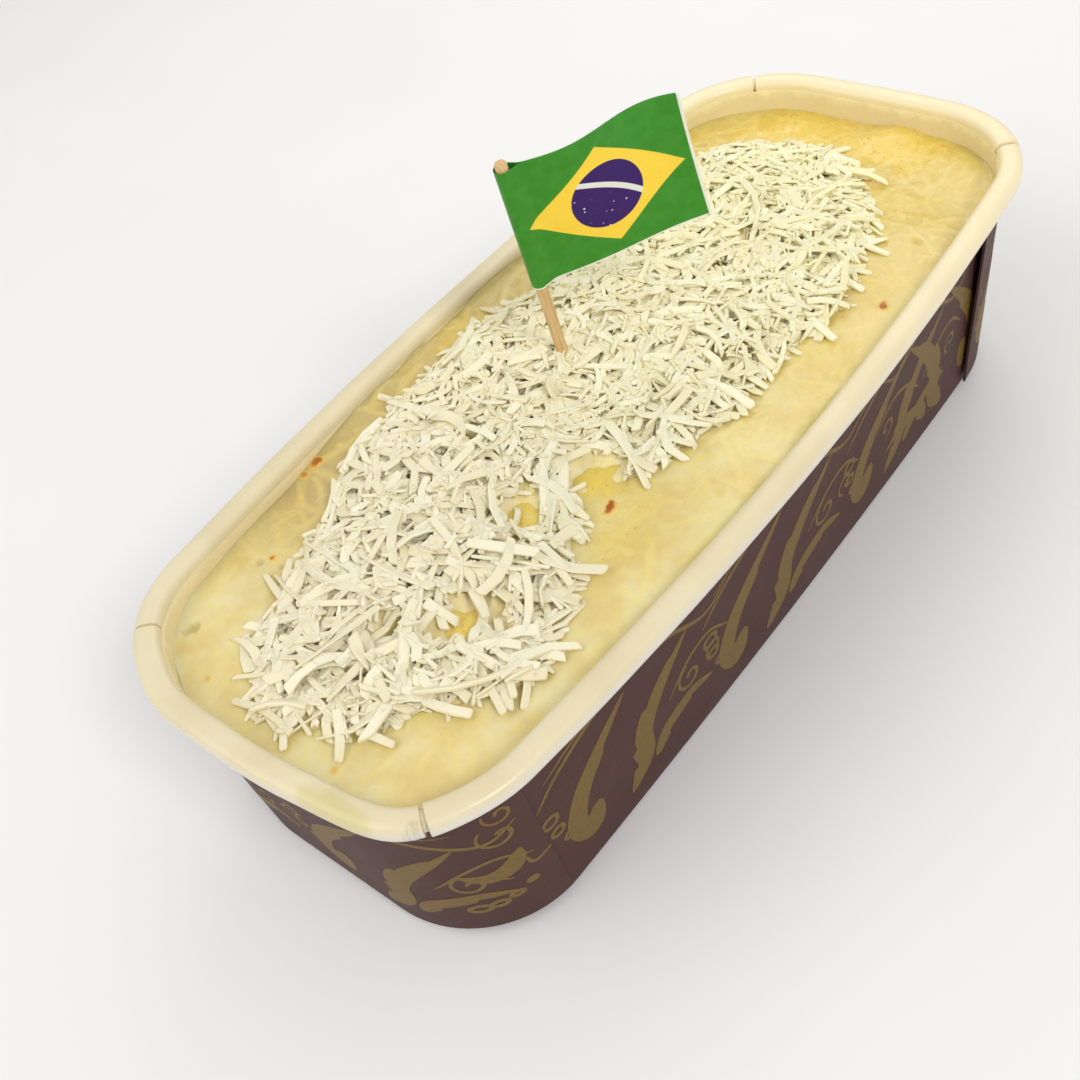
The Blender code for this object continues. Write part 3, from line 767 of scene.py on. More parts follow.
# %% One spray of ornament
LEAVES = (
    (((1.5, 8.5), (-1, 4), (-3.6, 8), (-1, 14.5), (5.5, 21), (11.5, 26.5)), 4.6, 0.30, 2.3, 1),
    (((8, 0), (12.5, 5), (13.5, 11.5), (18, 18), (26, 25)), 4.4, 0.42, 4.2, -1),
    (((15, 2), (18.5, 6), (25, 8), (31, 6.5)), 2.9, 0.35, 2.6, 1),
)
STEMS = (
    (((-9, 20), (-3, 24.5), (8, 29), (20, 28.5), (30, 23.5), (36, 26)), 1),
    (((-6, 25), (3, 28.5), (14, 31), (27, 29.5)), 0.7),
    (((20, 12.5), (25.5, 17), (31, 18), (36, 14.5)), 0.8),
)
SCROLLS = (((25.5, 12.6), 3.4, 1.2, 100, 1, 0.75), ((32, 12.8), 2.5, 1.1, 260, -1, 0.65))


def spray(ink, x, y, size, facing):
    """A hooked leaf, a torn leaf, long sweeps, a double scroll and a string of rings."""
    def at(*pairs):
        return [(x + facing * size * along, y + size * up) for along, up in pairs]
    for places, width, fullest, lobes, side in LEAVES:
        ink.leaf(at(*places), width * size, fullest, lobes, side * facing)
    for places, width in STEMS:
        ink.stem(at(*places), width * size)
    for place, radius, turns, start, side, width in SCROLLS:
        ink.spiral(at(place)[0], radius * size, turns, start, side * facing, width * size)
    for step in range(4):
        middle = at((-7.5 + 0.5 * step * step, 15.5 - 3.6 * step))[0]
        ink.ring(middle, (1.5 - 0.28 * step) * size, 0.75 * size, 0.8)


def print_sheet(name, middle, sprays, start, end, place, extra=None):
    """Prints sprays at lengths from a sheet's middle, between its two ends."""
    ink = Print()
    for along, up, size, facing in sprays:
        spray(ink, middle + along, up, size, facing)
    if extra:
        extra(ink)
    ink.lay(name, GOLD, start, end, place)


print("a spray has", len(LEAVES), "leaves and", len(STEMS), "stems")

# %% Gold ornament on the long walls
RIGHT_MIDDLE = edge_run(0, True) / MM
LEFT_MIDDLE = edge_run(0, False) / MM
RIGHT_SPRAYS = ((-59, 6, 1, 1), (-20, 5, 1.05, 1), (22, 6, 1, 1), (62, 5, 1.05, -1))
LEFT_SPRAYS = ((-56, 6, 1, 1), (-16, 5, 1.05, 1), (26, 6, 1, 1), (61, 5, 1, -1))
RIGHT_ENDS = (NEAR_RIGHT / MM, RIGHT_MIDDLE + 66)
print_sheet("right_wall_print", RIGHT_MIDDLE, RIGHT_SPRAYS, *RIGHT_ENDS, on_wall)
print_sheet("left_wall_print", LEFT_MIDDLE, LEFT_SPRAYS, FAR_LEFT / MM, NEAR_LEFT / MM, on_wall)

# %% [markdown]
# The end panels carry the same ornament on their own sheets, so it breaks off at their cut edges.

# %% Gold ornament on the end panels
NEAR_MIDDLE = (NEAR_LEFT + NEAR_RIGHT) / 2 / MM
FAR_MIDDLE = (FAR_RIGHT + FAR_LEFT + ROUND) / 2 / MM
CORNER_RUN = NEAR_RIGHT / MM
NEAR_SPRAYS = ((-36, 6, 1, 1), (4, 6, 0.95, 1))
FAR_SPRAYS = ((-38, 6, 1, 1), (2, 6, 1, 1), (46, 5, 0.95, -1))
CORNER_LEAF = ((-14.5, 21.5), (-10, 18.5), (-6, 19.5), (-4, 23))
CORNER_STEM = ((-4, 19.5), (-3, 17), (1, 18))


def corner_motifs(ink):
    """Two scrolls, a leaf and a string of rings beside the cut edge at the near corner."""
    ink.spiral((CORNER_RUN - 5.5, 29), 3.6, 1, 130, 1, 0.7)
    ink.spiral((CORNER_RUN - 4.2, 34), 2.6, 1.1, 150, 1, 0.6)
    ink.leaf([(CORNER_RUN + along, up) for along, up in CORNER_LEAF], 3.6, 0.6)
    ink.stem([(CORNER_RUN + along, up) for along, up in CORNER_STEM], 0.7)
    for step in range(4):
        middle = (CORNER_RUN - 13.3 + 2.9 * step, 9.6 + 0.35 * step * step)
        ink.ring(middle, 1.6 - 0.3 * step, 0.9, 0.62)


def on_panel(right_edge, lift):
    return lambda run, height, ink: flap_place(run, height, ink + FLAP_THICK, right_edge, lift)


NEAR_ENDS = (NEAR_LEFT / MM, NEAR_RIGHT / MM)
FAR_ENDS = (FAR_RIGHT / MM + 4, (FAR_LEFT + ROUND) / MM)
NEAR_PANEL, FAR_PANEL = on_panel(0, 0), on_panel(FAR_RIGHT, FLAP_LIFT)
print_sheet("near_panel_print", NEAR_MIDDLE, NEAR_SPRAYS, *NEAR_ENDS, NEAR_PANEL, corner_motifs)
print_sheet("far_panel_print", FAR_MIDDLE, FAR_SPRAYS, *FAR_ENDS, FAR_PANEL)

# %% [markdown]
# The cake is moist and soft, a pale yellow that turns golden at the far end. Its top follows the
# solid's dome, and on it lie the shreds that were stirred in, half sunk under a wet skin. A grid is
# bent to the tray's outline and every point is lifted by the same height function that the solid
# uses, plus the fine relief. The lifts are kept as attributes too, so the colour can follow them.

# %% The cake's height
def cake_top(x, y):
    along, across = x / RIM_HALF.x, y / RIM_HALF.y
    height = 41.4 * MM - 4.2 * MM * along ** 2 - 1.2 * MM * (along * across) ** 2
    height = height + 0.35 * MM * np.sin(x / (9 * MM) + 0.7) * np.cos(y / (8 * MM) - 0.4)
    height = height + 0.25 * MM * np.sin(x / (5.2 * MM) - y / (6.3 * MM))
    away = np.hypot(x - 83 * MM, y + 6.5 * MM) / (5 * MM)
    return height + 1.8 * MM * np.exp(-away * away)


def hills(x, y, places):
    """A soft union of round spots, each a place, a radius and a strength."""
    clear = np.ones_like(x)
    for px, py, radius, strength in places:
        wobble = 1 + 0.35 * chart(x, y, 1.4 * MM, 5)
        away = np.hypot(x - px * MM, y - py * MM) / (radius * MM * wobble)
        clear *= 1 - strength * np.exp(-away ** 4)
    return 1 - clear


middle_top, end_top = cake_top(0, 0), cake_top(-80 * MM, 0)
print("the cake's top falls from", round(middle_top / MM, 1), "to", round(end_top / MM, 1), "mm")

# %% Spots on the cake
BROWNED = (
    (-27.1, -17.4, 0.7, 0.8), (-26.2, -17.1, 0.9, 1), (-25.2, -16.8, 0.7, 0.9),
    (-40, 33.2, 1.1, 0.9), (-41.2, 33.4, 0.9, 0.7), (-43.5, 33.4, 0.8, 0.7), (-47.5, 30.8, 1, 0.3),
    (33, -30.6, 0.75, 1), (34, -30.2, 0.5, 0.7), (-59.3, 25.3, 0.6, 0.8), (83, -16.4, 0.7, 0.6),
    (-80.7, 17.8, 0.6, 0.6), (-82, -10.2, 0.6, 0.5), (-77.1, -0.7, 0.6, 0.5),
)
YOLKY = (
    (-34, -6, 7, 1), (-53.6, -11.2, 6.5, 1), (-21.7, -11.4, 5.5, 0.9), (76, 10, 13, 0.8),
    (60, -16, 10, 0.35), (-30, -20, 9, 0.45), (20, -25, 8, 0.3), (-56, 27, 8, 0.4),
    (80, -8, 11, 0.8), (-70, -16, 9, 0.3), (-4, 30, 8, 0.5), (0, -24, 6, 0.4),
)
PITS = (
    (-75.3, 27.2, 1.1, 1), (-76.6, 27.8, 0.8, 0.7), (-60.8, 26.8, 0.7, 0.8), (-59.7, 23, 0.8, 0.8),
    (-25, -11.1, 0.8, 0.8), (-74, 14, 0.8, 0.9), (52, -27.5, 0.8, 0.7), (66, 27, 0.9, 0.8),
)
print("the cake has", len(BROWNED), "browned,", len(YOLKY), "golden and", len(PITS), "sunken spots")

# %% Cake finish
def moist_cake(name):
    """A soft crumb soaked in milk: light travels into it, and a wet skin shines on top."""
    cake = Finish(name, subsurface_weight=0.35, subsurface_scale=0.004)
    cake.set("Coat Roughness", 0.08)
    cake.set("Specular IOR Level", 0.32)
    cake.set("Subsurface Radius", (1, 0.7, 0.3))
    where = cake.place()
    along = cake.axis(where, "X")
    fibre, toast, yolk = cake.read("fibre"), cake.read("toast"), cake.read("yolk")
    cloud = cake.noise(where, 0.10, 3, 0.55)
    fleck = cake.noise(where, 0.75, 4, 0.65)
    strand = cake.noise(cake.place((0.35, 1.6, 1), (0, 0, 0.5)), 1, 3, 0.6, 0.8)
    across = cake.axis(where, "Y")
    milk = cake.blend(cloud.ramp(0.36, 0.64), (0.75, 0.605, 0.26), (0.82, 0.74, 0.42))
    far = along.ramp(-70, 80)
    shaded = across.ramp(8, 30) * along.ramp(-72, -46) * (0.9 - far * 0.5)
    gold = cake.blend(fleck.ramp(0.3, 0.7), (0.71, 0.48, 0.045), (0.75, 0.56, 0.085))
    streaks = strand.ramp(0.54, 0.68) * (0.10 + far * 0.30)
    cake.set("Base Color", cake.layers(
        milk,
        (shaded, (0.50, 0.375, 0.15)),
        ((far * 0.65 + yolk * 0.5).least(1), gold),
        (yolk.ramp(0.3, 1) * 0.75, (0.92, 0.66, 0.135)),
        ((fibre * 0.40 + streaks).least(1), (0.87, 0.72, 0.25)),
        # painted shade: the sunken pits are painted a darker olive in their hollows
        (cake.read("pit").ramp(0.1, 1) * 0.6, (0.52, 0.40, 0.15)),
        (toast.ramp(0, 0.45) * 0.7, (0.85, 0.50, 0.08)),
        (toast.ramp(0.40, 0.90), (0.42, 0.12, 0.008)),
    ))
    cake.set("Roughness", 0.14 + fleck * 0.22)
    cake.set("Coat Weight", 0.12 + 0.35 * cake.noise(where, 0.25, 2).ramp(0.4, 0.65))
    drops = cake.noise(where, 1.25, 2).ramp(0.63, 0.72)
    skin = cake.bump(drops * yolk.ramp(0.15, 0.7), 0.0004, 0.6, cake.bump(fleck, 0.00016, 0.35))
    cake.set("Normal", cake.bump(strand, 0.00009, 0.5, skin))
    return cake


CAKE_FINISH = moist_cake("moist_cake")
print("the cake's finish has", len(CAKE_FINISH.nodes), "nodes")

# %% Cake body
CAKE_COLUMNS, CAKE_ROWS = 430, 180
CAKE_REACH, CAKE_WIDTH = 84, 34
CAKE_RISE = 0.94
SUNK_SHREDS = 900
SUNK_REACH = 6 * MM


def follow(edge, x):
    """How far across an edge line lies at each x."""
    return np.interp(x, edge[:, 0], edge[:, 1])


def cake_places(u, v):
    """Bends a square from -1 to 1 to the lining's outline, closer set in the tray's corners."""
    ring = outline(40 * MM, -BOARD + 0.15 * MM)
    ring = ring[np.argsort(ring[:, 0])]
    half = TOP_HALF[0] - 0.7 * MM
    reach = TOP_HALF[0] - CORNER
    straight, share = 0.80, np.abs(u)
    bent = np.sin(np.clip((share - straight) / (1 - straight), 0, 1) * np.pi / 2)
    x = np.where(share < straight, reach * share / straight, reach + (half - reach) * bent)
    x = np.sign(u) * x
    high, low = follow(ring[ring[:, 1] >= 0], x), follow(ring[ring[:, 1] < 0], x)
    return x, low + (high - low) * (v + 1) / 2


def sink_shreds(x, y, count, seed):
    """Ridges of shreds under the skin, as a height from 0 to 1."""
    draw = np.random.default_rng(seed)
    ridge = np.zeros_like(x)
    for _ in range(count):
        px, py = draw.uniform(-CAKE_REACH, CAKE_REACH) * MM, draw.uniform(-35, 35) * MM
        turn = draw.normal(0.5, 0.8)
        half, width = draw.uniform(2, 5.5) * MM, draw.uniform(0.55, 1) * MM
        near = np.flatnonzero((np.abs(x - px) < SUNK_REACH) & (np.abs(y - py) < SUNK_REACH))
        dx, dy = x[near] - px, y[near] - py
        along = dx * math.cos(turn) + dy * math.sin(turn)
        across = -dx * math.sin(turn) + dy * math.cos(turn) + draw.normal(0, 25) * along ** 2
        over = np.maximum(np.abs(along) - half, 0)
        close = np.clip(1 - (across ** 2 + over ** 2) / width ** 2, 0, 1)
        ridge[near] = np.maximum(ridge[near], close * draw.uniform(0.4, 1))
    return ridge


def make_cake():
    bm, u, v = unit_grid(CAKE_COLUMNS, CAKE_ROWS)
    x, y = cake_places(u, v)
    flat = np.stack([x, y], 1)
    moved = dented(flat, np.full(len(flat), CAKE_RISE))
    edge = np.minimum((1 - np.abs(v)) * CAKE_WIDTH, (1 - np.abs(u)) * CAKE_REACH) * MM
    fibre = sink_shreds(x, y, SUNK_SHREDS, 3)
    rough = 0.35 + 0.65 * np.clip((x + 70 * MM) / (60 * MM), 0, 1)
    z = cake_top(x, y)
    z += 0.09 * MM * fibre * rough
    z += 0.13 * MM * chart(x, y, 5 * MM, 1) + 0.03 * MM * rough * chart(x, y, 1.7 * MM, 2)
    z += 0.9 * MM * np.exp(-edge / (0.9 * MM)) * (0.7 + 0.5 * chart(x, y, 6 * MM, 7))
    # The pits sink the surface, and the same mask carries their painted shade into the colour.
    pit = hills(x, y, PITS)
    z -= 0.6 * MM * pit
    toast = hills(x, y, BROWNED)
    z += 0.3 * MM * toast
    send(bm, np.column_stack([moved, z]))
    marks = {"fibre": fibre, "toast": toast, "yolk": hills(x, y, YOLKY), "pit": pit}
    layers = {name: bm.verts.layers.float.new(name) for name in marks}
    for name, values in marks.items():
        for vertex, value in zip(bm.verts, values):
            vertex[layers[name]] = value
    rim = boundary(bm)
    for shorter, narrower, height in ((0.985, 0.96, 22 * MM), (0.957, 0.89, 1.1 * MM)):
        fresh, rim = grow(bm, rim)
        for vertex in fresh:
            reach = min(abs(vertex.co.x), TOP_HALF[0])
            vertex.co.x = math.copysign(reach, vertex.co.x) * shorter
            vertex.co.y *= narrower
            vertex.co.z = height
    close_ends(bm, rim)
    settle("cake_body", bm, CAKE_FINISH, "cake")


make_cake()

# %% [markdown]
# Shredded coconut lies in a loose band along the middle. The part that can't be seen is a packed bed
# that follows the solid's own depth. On it lie broken slivers, broad strips and crumbs, bent, twisted
# and cut to different lengths. Each is laid where the heap is still low, tilted to what is under it,
# and raises the heap for the next one, which is how a real heap builds up without floating pieces.

# %% The heap's form
LEFT_EDGE = np.array((
    (-82, 3), (-75, 15.5), (-57, 20.5), (-32, 28.5), (14, 29.5), (50, 26.5), (66, 23.5), (73, 8),
)) * MM
RIGHT_EDGE = np.array((
    (-82, 3), (-74, -12), (-56, -26.5), (-42, -21), (-26, -11.5), (-17, -19), (0, -22.5),
    (30, -24.5), (52, -18.5), (68, -8), (73, 8),
)) * MM
HEAP_THICK = 2.8 * MM
HEAP_HOLES = (
    (-34, -6.5, 4.6, 1), (-53.6, -11.2, 6, 1), (-21.7, -11.4, 5, 1), (-61, -3, 2.4, 1),
    (-45, 3, 2, 0.9), (27, 6, 2.2, 0.9), (38, -2, 2.6, 0.9), (57, 6, 2.8, 0.9), (11, 30.5, 5.5, 1),
    (-24, 12, 2, 0.9), (8, -14, 2.2, 0.9), (44, 12, 2, 0.9), (-37, 14, 2, 0.8),
)


def heap_depth(x, y):
    """How deep the coconut lies at a place, nothing outside the band."""
    start, end = LEFT_EDGE[0, 0], LEFT_EDGE[-1, 0]
    along = (x - start) / (end - start)
    low, high = follow(RIGHT_EDGE, x), follow(LEFT_EDGE, x)
    across = (y - low) / np.maximum(high - low, MM)
    ends = np.clip(np.minimum(along, 1 - along) * 6, 0, 1)
    sides = np.clip(np.minimum(across, 1 - across) * 4, 0, 1)
    return HEAP_THICK * np.sqrt(ends * sides) * (1 - 0.9 * hills(x, y, HEAP_HOLES))


TRIAL_ALONG = np.linspace(-82, 73, 200) * MM
trial_depth = heap_depth(TRIAL_ALONG, 0 * TRIAL_ALONG)
print("along the middle the heap is up to", round(trial_depth.max() / MM, 2), "mm deep")

# %% Packed bed
BED_SHARE = 0.66
BED_SUNK = 0.3 * MM
BED_COLUMNS, BED_ROWS = 230, 84
BED_MIDDLE, BED_REACH = -4.5 * MM, 77 * MM


def make_bed(finish):
    """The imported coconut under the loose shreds, tapering into the cake at every edge."""
    bm, u, v = unit_grid(BED_COLUMNS, BED_ROWS)
    x = BED_MIDDLE + BED_REACH * u
    low, high = follow(RIGHT_EDGE, x), follow(LEFT_EDGE, x)
    y = low + (high - low) * (v + 1) / 2
    lumps = 0.3 * MM * chart(x, y, 1.8 * MM, 11) + 0.2 * MM * chart(x, y, 0.9 * MM, 12)
    depth = heap_depth(x, y)
    top = cake_top(x, y) + BED_SHARE * depth + lumps * np.minimum(depth / MM, 1) - BED_SUNK
    send(bm, np.stack([x, y, top], 1))
    fresh, rim = grow(bm, boundary(bm))
    for vertex in fresh:
        vertex.co.z -= 1.5 * MM
    close_ends(bm, rim)
    settle("coconut_bed", bm, finish, "coconut")


def dry_coconut(name, deep):
    """Dry coconut flesh: chalky white, a little see-through, with fine fibres along it."""
    flesh = Finish(name, subsurface_weight=0.16, subsurface_scale=0.0008, roughness=0.6)
    flesh.set("Subsurface Radius", (1, 0.85, 0.60))
    where = flesh.place()
    along = flesh.axis(where, "X")
    shade = flesh.noise(where, 0.35, 3) if deep else flesh.read("shade")
    white = flesh.blend(shade, (0.83, 0.76, 0.53), (0.92, 0.87, 0.67))
    far_painted_light = flesh.blend(shade, (0.95, 0.88, 0.54), (1, 0.97, 0.69))
    # Painted light: the coconut turns paler and warmer towards the far end, standing in for the
    # stronger light there.
    colour = flesh.blend(along.ramp(-60, 75), white, far_painted_light)
    if deep:
        wet = flesh.noise(where, 0.28, 3, 0.6).ramp(0.30, 0.65)
        colour = flesh.blend(0.30 + wet * 0.60, colour, (0.86, 0.72, 0.31))
    flesh.set("Base Color", colour)
    grain = flesh.noise(where, 3, 3, 0.6)
    flesh.set("Roughness", 0.5 + grain * 0.25)
    flesh.set("Normal", flesh.bump(grain, 0.00012, 0.6))
    return flesh


make_bed(dry_coconut("packed_coconut", True))

# %% The form of a shred
STRIP = ((-0.5, 0.72), (-0.47, 0.98), (-0.17, 1), (0.17, 1), (0.47, 0.98), (0.5, 0.72))
SLIVER = ((-0.5, 0.6), (-0.4, 1), (0.35, 0.95), (0.5, 0.5))


def strip_pattern(stations):
    """A six-sided unit strip along X with rounded ends, as points and faces."""
    bm = bmesh.new()
    section = bmesh.ops.create_circle(bm, cap_ends=False, segments=6, radius=0.5)["verts"]
    bmesh.ops.rotate(bm, matrix=Matrix.Rotation(math.pi / 2, 3, "Y"), verts=section)
    flats = [vertex for vertex in section if abs(vertex.co.z) > 0.1]
    bmesh.ops.scale(bm, vec=(1, 1.65, 1), verts=flats)
    first = edges = list(bm.edges)
    groups = [section]
    for _ in stations[1:]:
        fresh, edges = grow(bm, edges)
        groups.append(list(fresh))
    for verts, (place, size) in zip(groups, stations):
        bmesh.ops.scale(bm, vec=(1, size, size), verts=verts)
        bmesh.ops.translate(bm, vec=(place, 0, 0), verts=verts)
    close_ends(bm, first, edges)
    bmesh.ops.recalc_face_normals(bm, faces=bm.faces)
    points = points_of(bm)
    faces = [[vertex.index for vertex in face.verts] for face in bm.faces]
    bm.free()
    return points, faces


print("a strip has", len(strip_pattern(STRIP)[0]), "points, a sliver", len(strip_pattern(SLIVER)[0]))

# %% A map of the heap
FIELD_STEP = 0.5 * MM
FIELD_LOW = np.array((-92, -36)) * MM
FIELD_SIZE = (360, 144)


class Heap:
    """A map of how high the coconut already lies."""

    def __init__(self):
        i, j = np.meshgrid(np.arange(FIELD_SIZE[0]), np.arange(FIELD_SIZE[1]), indexing="ij")
        x, y = FIELD_LOW[0] + i * FIELD_STEP, FIELD_LOW[1] + j * FIELD_STEP
        self.ground = cake_top(x, y)
        self.depth = heap_depth(x.ravel(), y.ravel()).reshape(FIELD_SIZE)
        self.field = self.ground + np.maximum(BED_SHARE * self.depth - BED_SUNK, 0)

    def cells(self, x, y):
        i = np.clip(((x - FIELD_LOW[0]) / FIELD_STEP + 0.5).astype(int), 0, FIELD_SIZE[0] - 1)
        j = np.clip(((y - FIELD_LOW[1]) / FIELD_STEP + 0.5).astype(int), 0, FIELD_SIZE[1] - 1)
        return i, j

    def wants(self, x, y, goal, draw):
        """Whether a place is still lower than a share of the heap's depth."""
        i, j = self.cells(np.array(x), np.array(y))
        depth = self.depth[i, j]
        spare = self.ground[i, j] + goal * depth + 0.15 * MM - self.field[i, j]
        return depth > 0.45 * MM and spare > draw.normal(0, 0.2) * MM


def lay_shred(heap, pattern, x, y, turn, length, width, thick, bend, draw):
    """Rests one shred on the heap, raises the heap under it and returns its points."""
    share = np.linspace(-0.5, 0.5, 9)
    cos, sin = math.cos(turn), math.sin(turn)
    along, aside = share * length, bend * length * (4 * share ** 2 - 0.5)
    px, py = x + along * cos - aside * sin, y + along * sin + aside * cos
    i, j = heap.cells(px, py)
    under = heap.field[i, j]
    lean = (along * (under - under.mean())).sum() / (along ** 2).sum()
    slope = min(max(lean, -0.5), 0.5)
    middle = under.mean() + max(0, np.max(under - under.mean() - slope * along) - 0.25 * MM)
    across = np.array((-0.3, 0, 0.3)) * width
    wide = heap.cells(px[:, None] - across * sin, py[:, None] + across * cos)
    heap.field[wide] = np.maximum(heap.field[wide], (middle + slope * along + 0.5 * thick)[:, None])
    s = pattern[:, 0]
    roll = draw.normal(0, 0.35) + draw.normal(0, 0.9) * s
    swell = 1 + draw.normal(0, 0.22) * s + draw.normal(0, 0.10) * np.cos(7 * s)
    side, up = pattern[:, 1] * width * swell, pattern[:, 2] * thick
    line = s * length + draw.normal(0, 0.45) * side * np.abs(s)
    offset = bend * length * (4 * s ** 2 - 0.5) + side * np.cos(roll) - up * np.sin(roll)
    arch = draw.normal(0.02, 0.07) * length * (0.25 - s ** 2)
    return np.stack([
        x + line * cos - offset * sin,
        y + line * sin + offset * cos,
        middle + slope * line + 0.4 * thick + arch + side * np.sin(roll) + up * np.cos(roll),
    ], 1)


heap = Heap()
print("the map has", heap.field.size, "cells, up to", round(heap.field.max() / MM, 1), "mm high")

# %% Loose shreds
SHRED_FINISH = dry_coconut("shredded_coconut", False)
HEAP_ALONG, HEAP_ACROSS = (-85, 76), (-29, 32)


def shreds_mesh(name, clouds, faces, draw):
    """One mesh of many copies of a pattern's faces over given points."""
    size = len(clouds[0])
    starts = range(0, size * len(clouds), size)
    polygons = [[start + corner for corner in face] for start in starts for face in faces]
    mesh = bpy.data.meshes.new(name)
    mesh.from_pydata(np.concatenate(clouds).tolist(), [], polygons)
    shade = mesh.attributes.new("shade", "FLOAT", "POINT")
    shade.data.foreach_set("value", np.repeat(draw.uniform(0, 1, len(clouds)), size))
    return mesh


def make_shreds(name, heap, stations, count, goal, lengths, widths, seed, extra=()):
    """Scatters one kind of shred where the heap is lower than its goal."""
    draw = np.random.default_rng(seed)
    pattern, faces = strip_pattern(stations)
    clouds = []
    for _ in range(14 * count):
        if len(clouds) == count:
            break
        x, y = draw.uniform(*HEAP_ALONG) * MM, draw.uniform(*HEAP_ACROSS) * MM
        if not heap.wants(x, y, goal, draw):
            continue
        shortest, usual, longest = lengths
        length = min(max(draw.lognormal(math.log(usual), 0.38), shortest), longest) * MM
        turn = draw.uniform(0, math.pi)
        reach = np.array((-0.45, 0, 0.45)) * length
        bare = hills(x + reach * math.cos(turn), y + reach * math.sin(turn), HEAP_HOLES)
        if bare.mean() > 0.25 and draw.random() < 0.9:
            continue
        fine = 1 - 0.28 * min(max((x + 40 * MM) / (100 * MM), 0), 1)
        width = draw.uniform(*widths) * fine * MM
        thick = min(width, draw.uniform(0.35, 0.65) * MM)
        sizes = (length * (0.5 + 0.5 * fine), width, thick, draw.normal(0, 0.12))
        clouds.append(lay_shred(heap, pattern, x, y, turn, *sizes, draw))
    for x, y, turn, length, width, bend in extra:
        sizes = (length * MM, width * MM, 0.8 * MM, bend)
        clouds.append(lay_shred(heap, pattern, x * MM, y * MM, math.radians(turn), *sizes, draw))
    print(name, len(clouds), "pieces")
    mesh = shreds_mesh(name, clouds, faces, draw)
    settle_mesh(name, mesh, SHRED_FINISH, "coconut")


STRAYS = (
    (-68, -10, 20, 18, 1.9, 0.12), (-62, -19.5, -38, 16, 1.7, 0.1), (-54, -25, -30, 12, 1.6, -0.14),
    (-79, 3, 120, 9, 1.8, 0.12), (-8, 27.5, 20, 15, 1.6, 0.1), (-35, 27, 10, 12, 1.6, -0.08),
    (-24, 31, 95, 5, 1.2, 0.05), (-78, -8, 40, 7, 1.5, 0.05), (-75.5, -13, 100, 6, 1.4, 0),
    (-67, -19, 110, 7, 1.6, -0.05), (-51, -12, 60, 6, 1.7, 0.03), (-55, -8, 100, 5, 1.6, 0.02),
    (-35, -6, 30, 4, 1, 0.1),
)
make_shreds("coconut_slivers", heap, SLIVER, 2700, 0.85, (1.6, 3.8, 8), (0.6, 1.3), 22)
make_shreds("coconut_strips", heap, STRIP, 2000, 1.2, (3, 6.6, 15), (1, 1.9), 21, STRAYS)
make_shreds("coconut_crumbs", heap, SLIVER, 1200, 1.5, (0.8, 1.9, 3.5), (0.45, 0.9), 23)

# %% [markdown]
# The pick is a plain wooden toothpick, cut flat above and sharpened below. The grain runs along it, so
# the noise that colours it is squeezed across the stick.

# %% Toothpick
PICK_ENTRY = Vector((-3, 8.9, 44.5)) * MM
PICK_LEAN = Vector((-0.15, -0.05, 0.99)).normalized()
PICK_ABOVE, PICK_BELOW = 40.5 * MM, 24 * MM
PICK_RADIUS, PICK_TIP = 1 * MM, 7 * MM
STICK_TURN = PICK_LEAN.to_track_quat("Z", "X").to_matrix().to_4x4()
STICK_PLACE = Matrix.Translation(PICK_ENTRY) @ STICK_TURN
PICK_STATIONS = (
    (-PICK_BELOW, 0.22), (-PICK_BELOW + PICK_TIP / 2, 0.62), (-PICK_BELOW + PICK_TIP, 1),
    (-8 * MM, 1), (0, 0.985), (9 * MM, 0.995), (20 * MM, 0.97), (32 * MM, 0.98),
    (PICK_ABOVE - 0.25 * MM, 0.98), (PICK_ABOVE, 0.86),
)


def make_pick(finish):
    """A disc extruded up the stick, with its edges broken and its lower end drawn to a point."""
    bm = bmesh.new()
    disc = bmesh.ops.create_circle(bm, cap_ends=False, segments=28, radius=PICK_RADIUS)["verts"]
    low, small = PICK_STATIONS[0]
    bmesh.ops.scale(bm, vec=(small, small, 1), verts=disc)
    bmesh.ops.translate(bm, vec=(0, 0, low), verts=disc)
    first = edges = list(bm.edges)
    for high, large in PICK_STATIONS[1:]:
        fresh, edges = grow(bm, edges)
        bmesh.ops.scale(bm, vec=(large / small, large / small, 1), verts=list(fresh))
        bmesh.ops.translate(bm, vec=(0, 0, high - low), verts=list(fresh))
        low, small = high, large
    close_ends(bm, first, edges)
    bmesh.ops.transform(bm, matrix=STICK_PLACE, verts=bm.verts)
    settle("toothpick", bm, finish, "pick")


def pale_wood(name):
    wood = Finish(name, roughness=0.55)
    lean = STICK_TURN.inverted().to_euler()
    where = wood.place((1, 1, 1), tuple(lean))
    squeezed = wood.add("ShaderNodeMapping", {}, {"Vector": where, "Scale": (2.4, 2.4, 0.10)})
    grain = wood.noise(squeezed, 1.2, 4, 0.6)
    fine = wood.noise(squeezed, 4.5, 3, 0.6)
    wood.set("Base Color", wood.layers(
        (0.60, 0.385, 0.155),
        (grain.ramp(0.3, 0.7), (0.77, 0.545, 0.27)),
        (fine.ramp(0.58, 0.74) * 0.5, (0.42, 0.235, 0.085)),
    ))
    wood.set("Roughness", 0.5 + grain * 0.2)
    wood.set("Normal", wood.bump(fine, 0.00005, 0.7))
    return wood


make_pick(pale_wood("pale_wood"))

# %% [markdown]
# The flag is a strip of printed paper folded round the stick and glued to itself. It hangs in one slow
# wave that is strongest along its top edge. Its own UV map holds millimetres along and up the sheet,
# so the figure can be drawn with arithmetic: a rhombus is where two weighted distances add up to
# less than one, a disc is a distance, and the white band is the space between two larger circles.

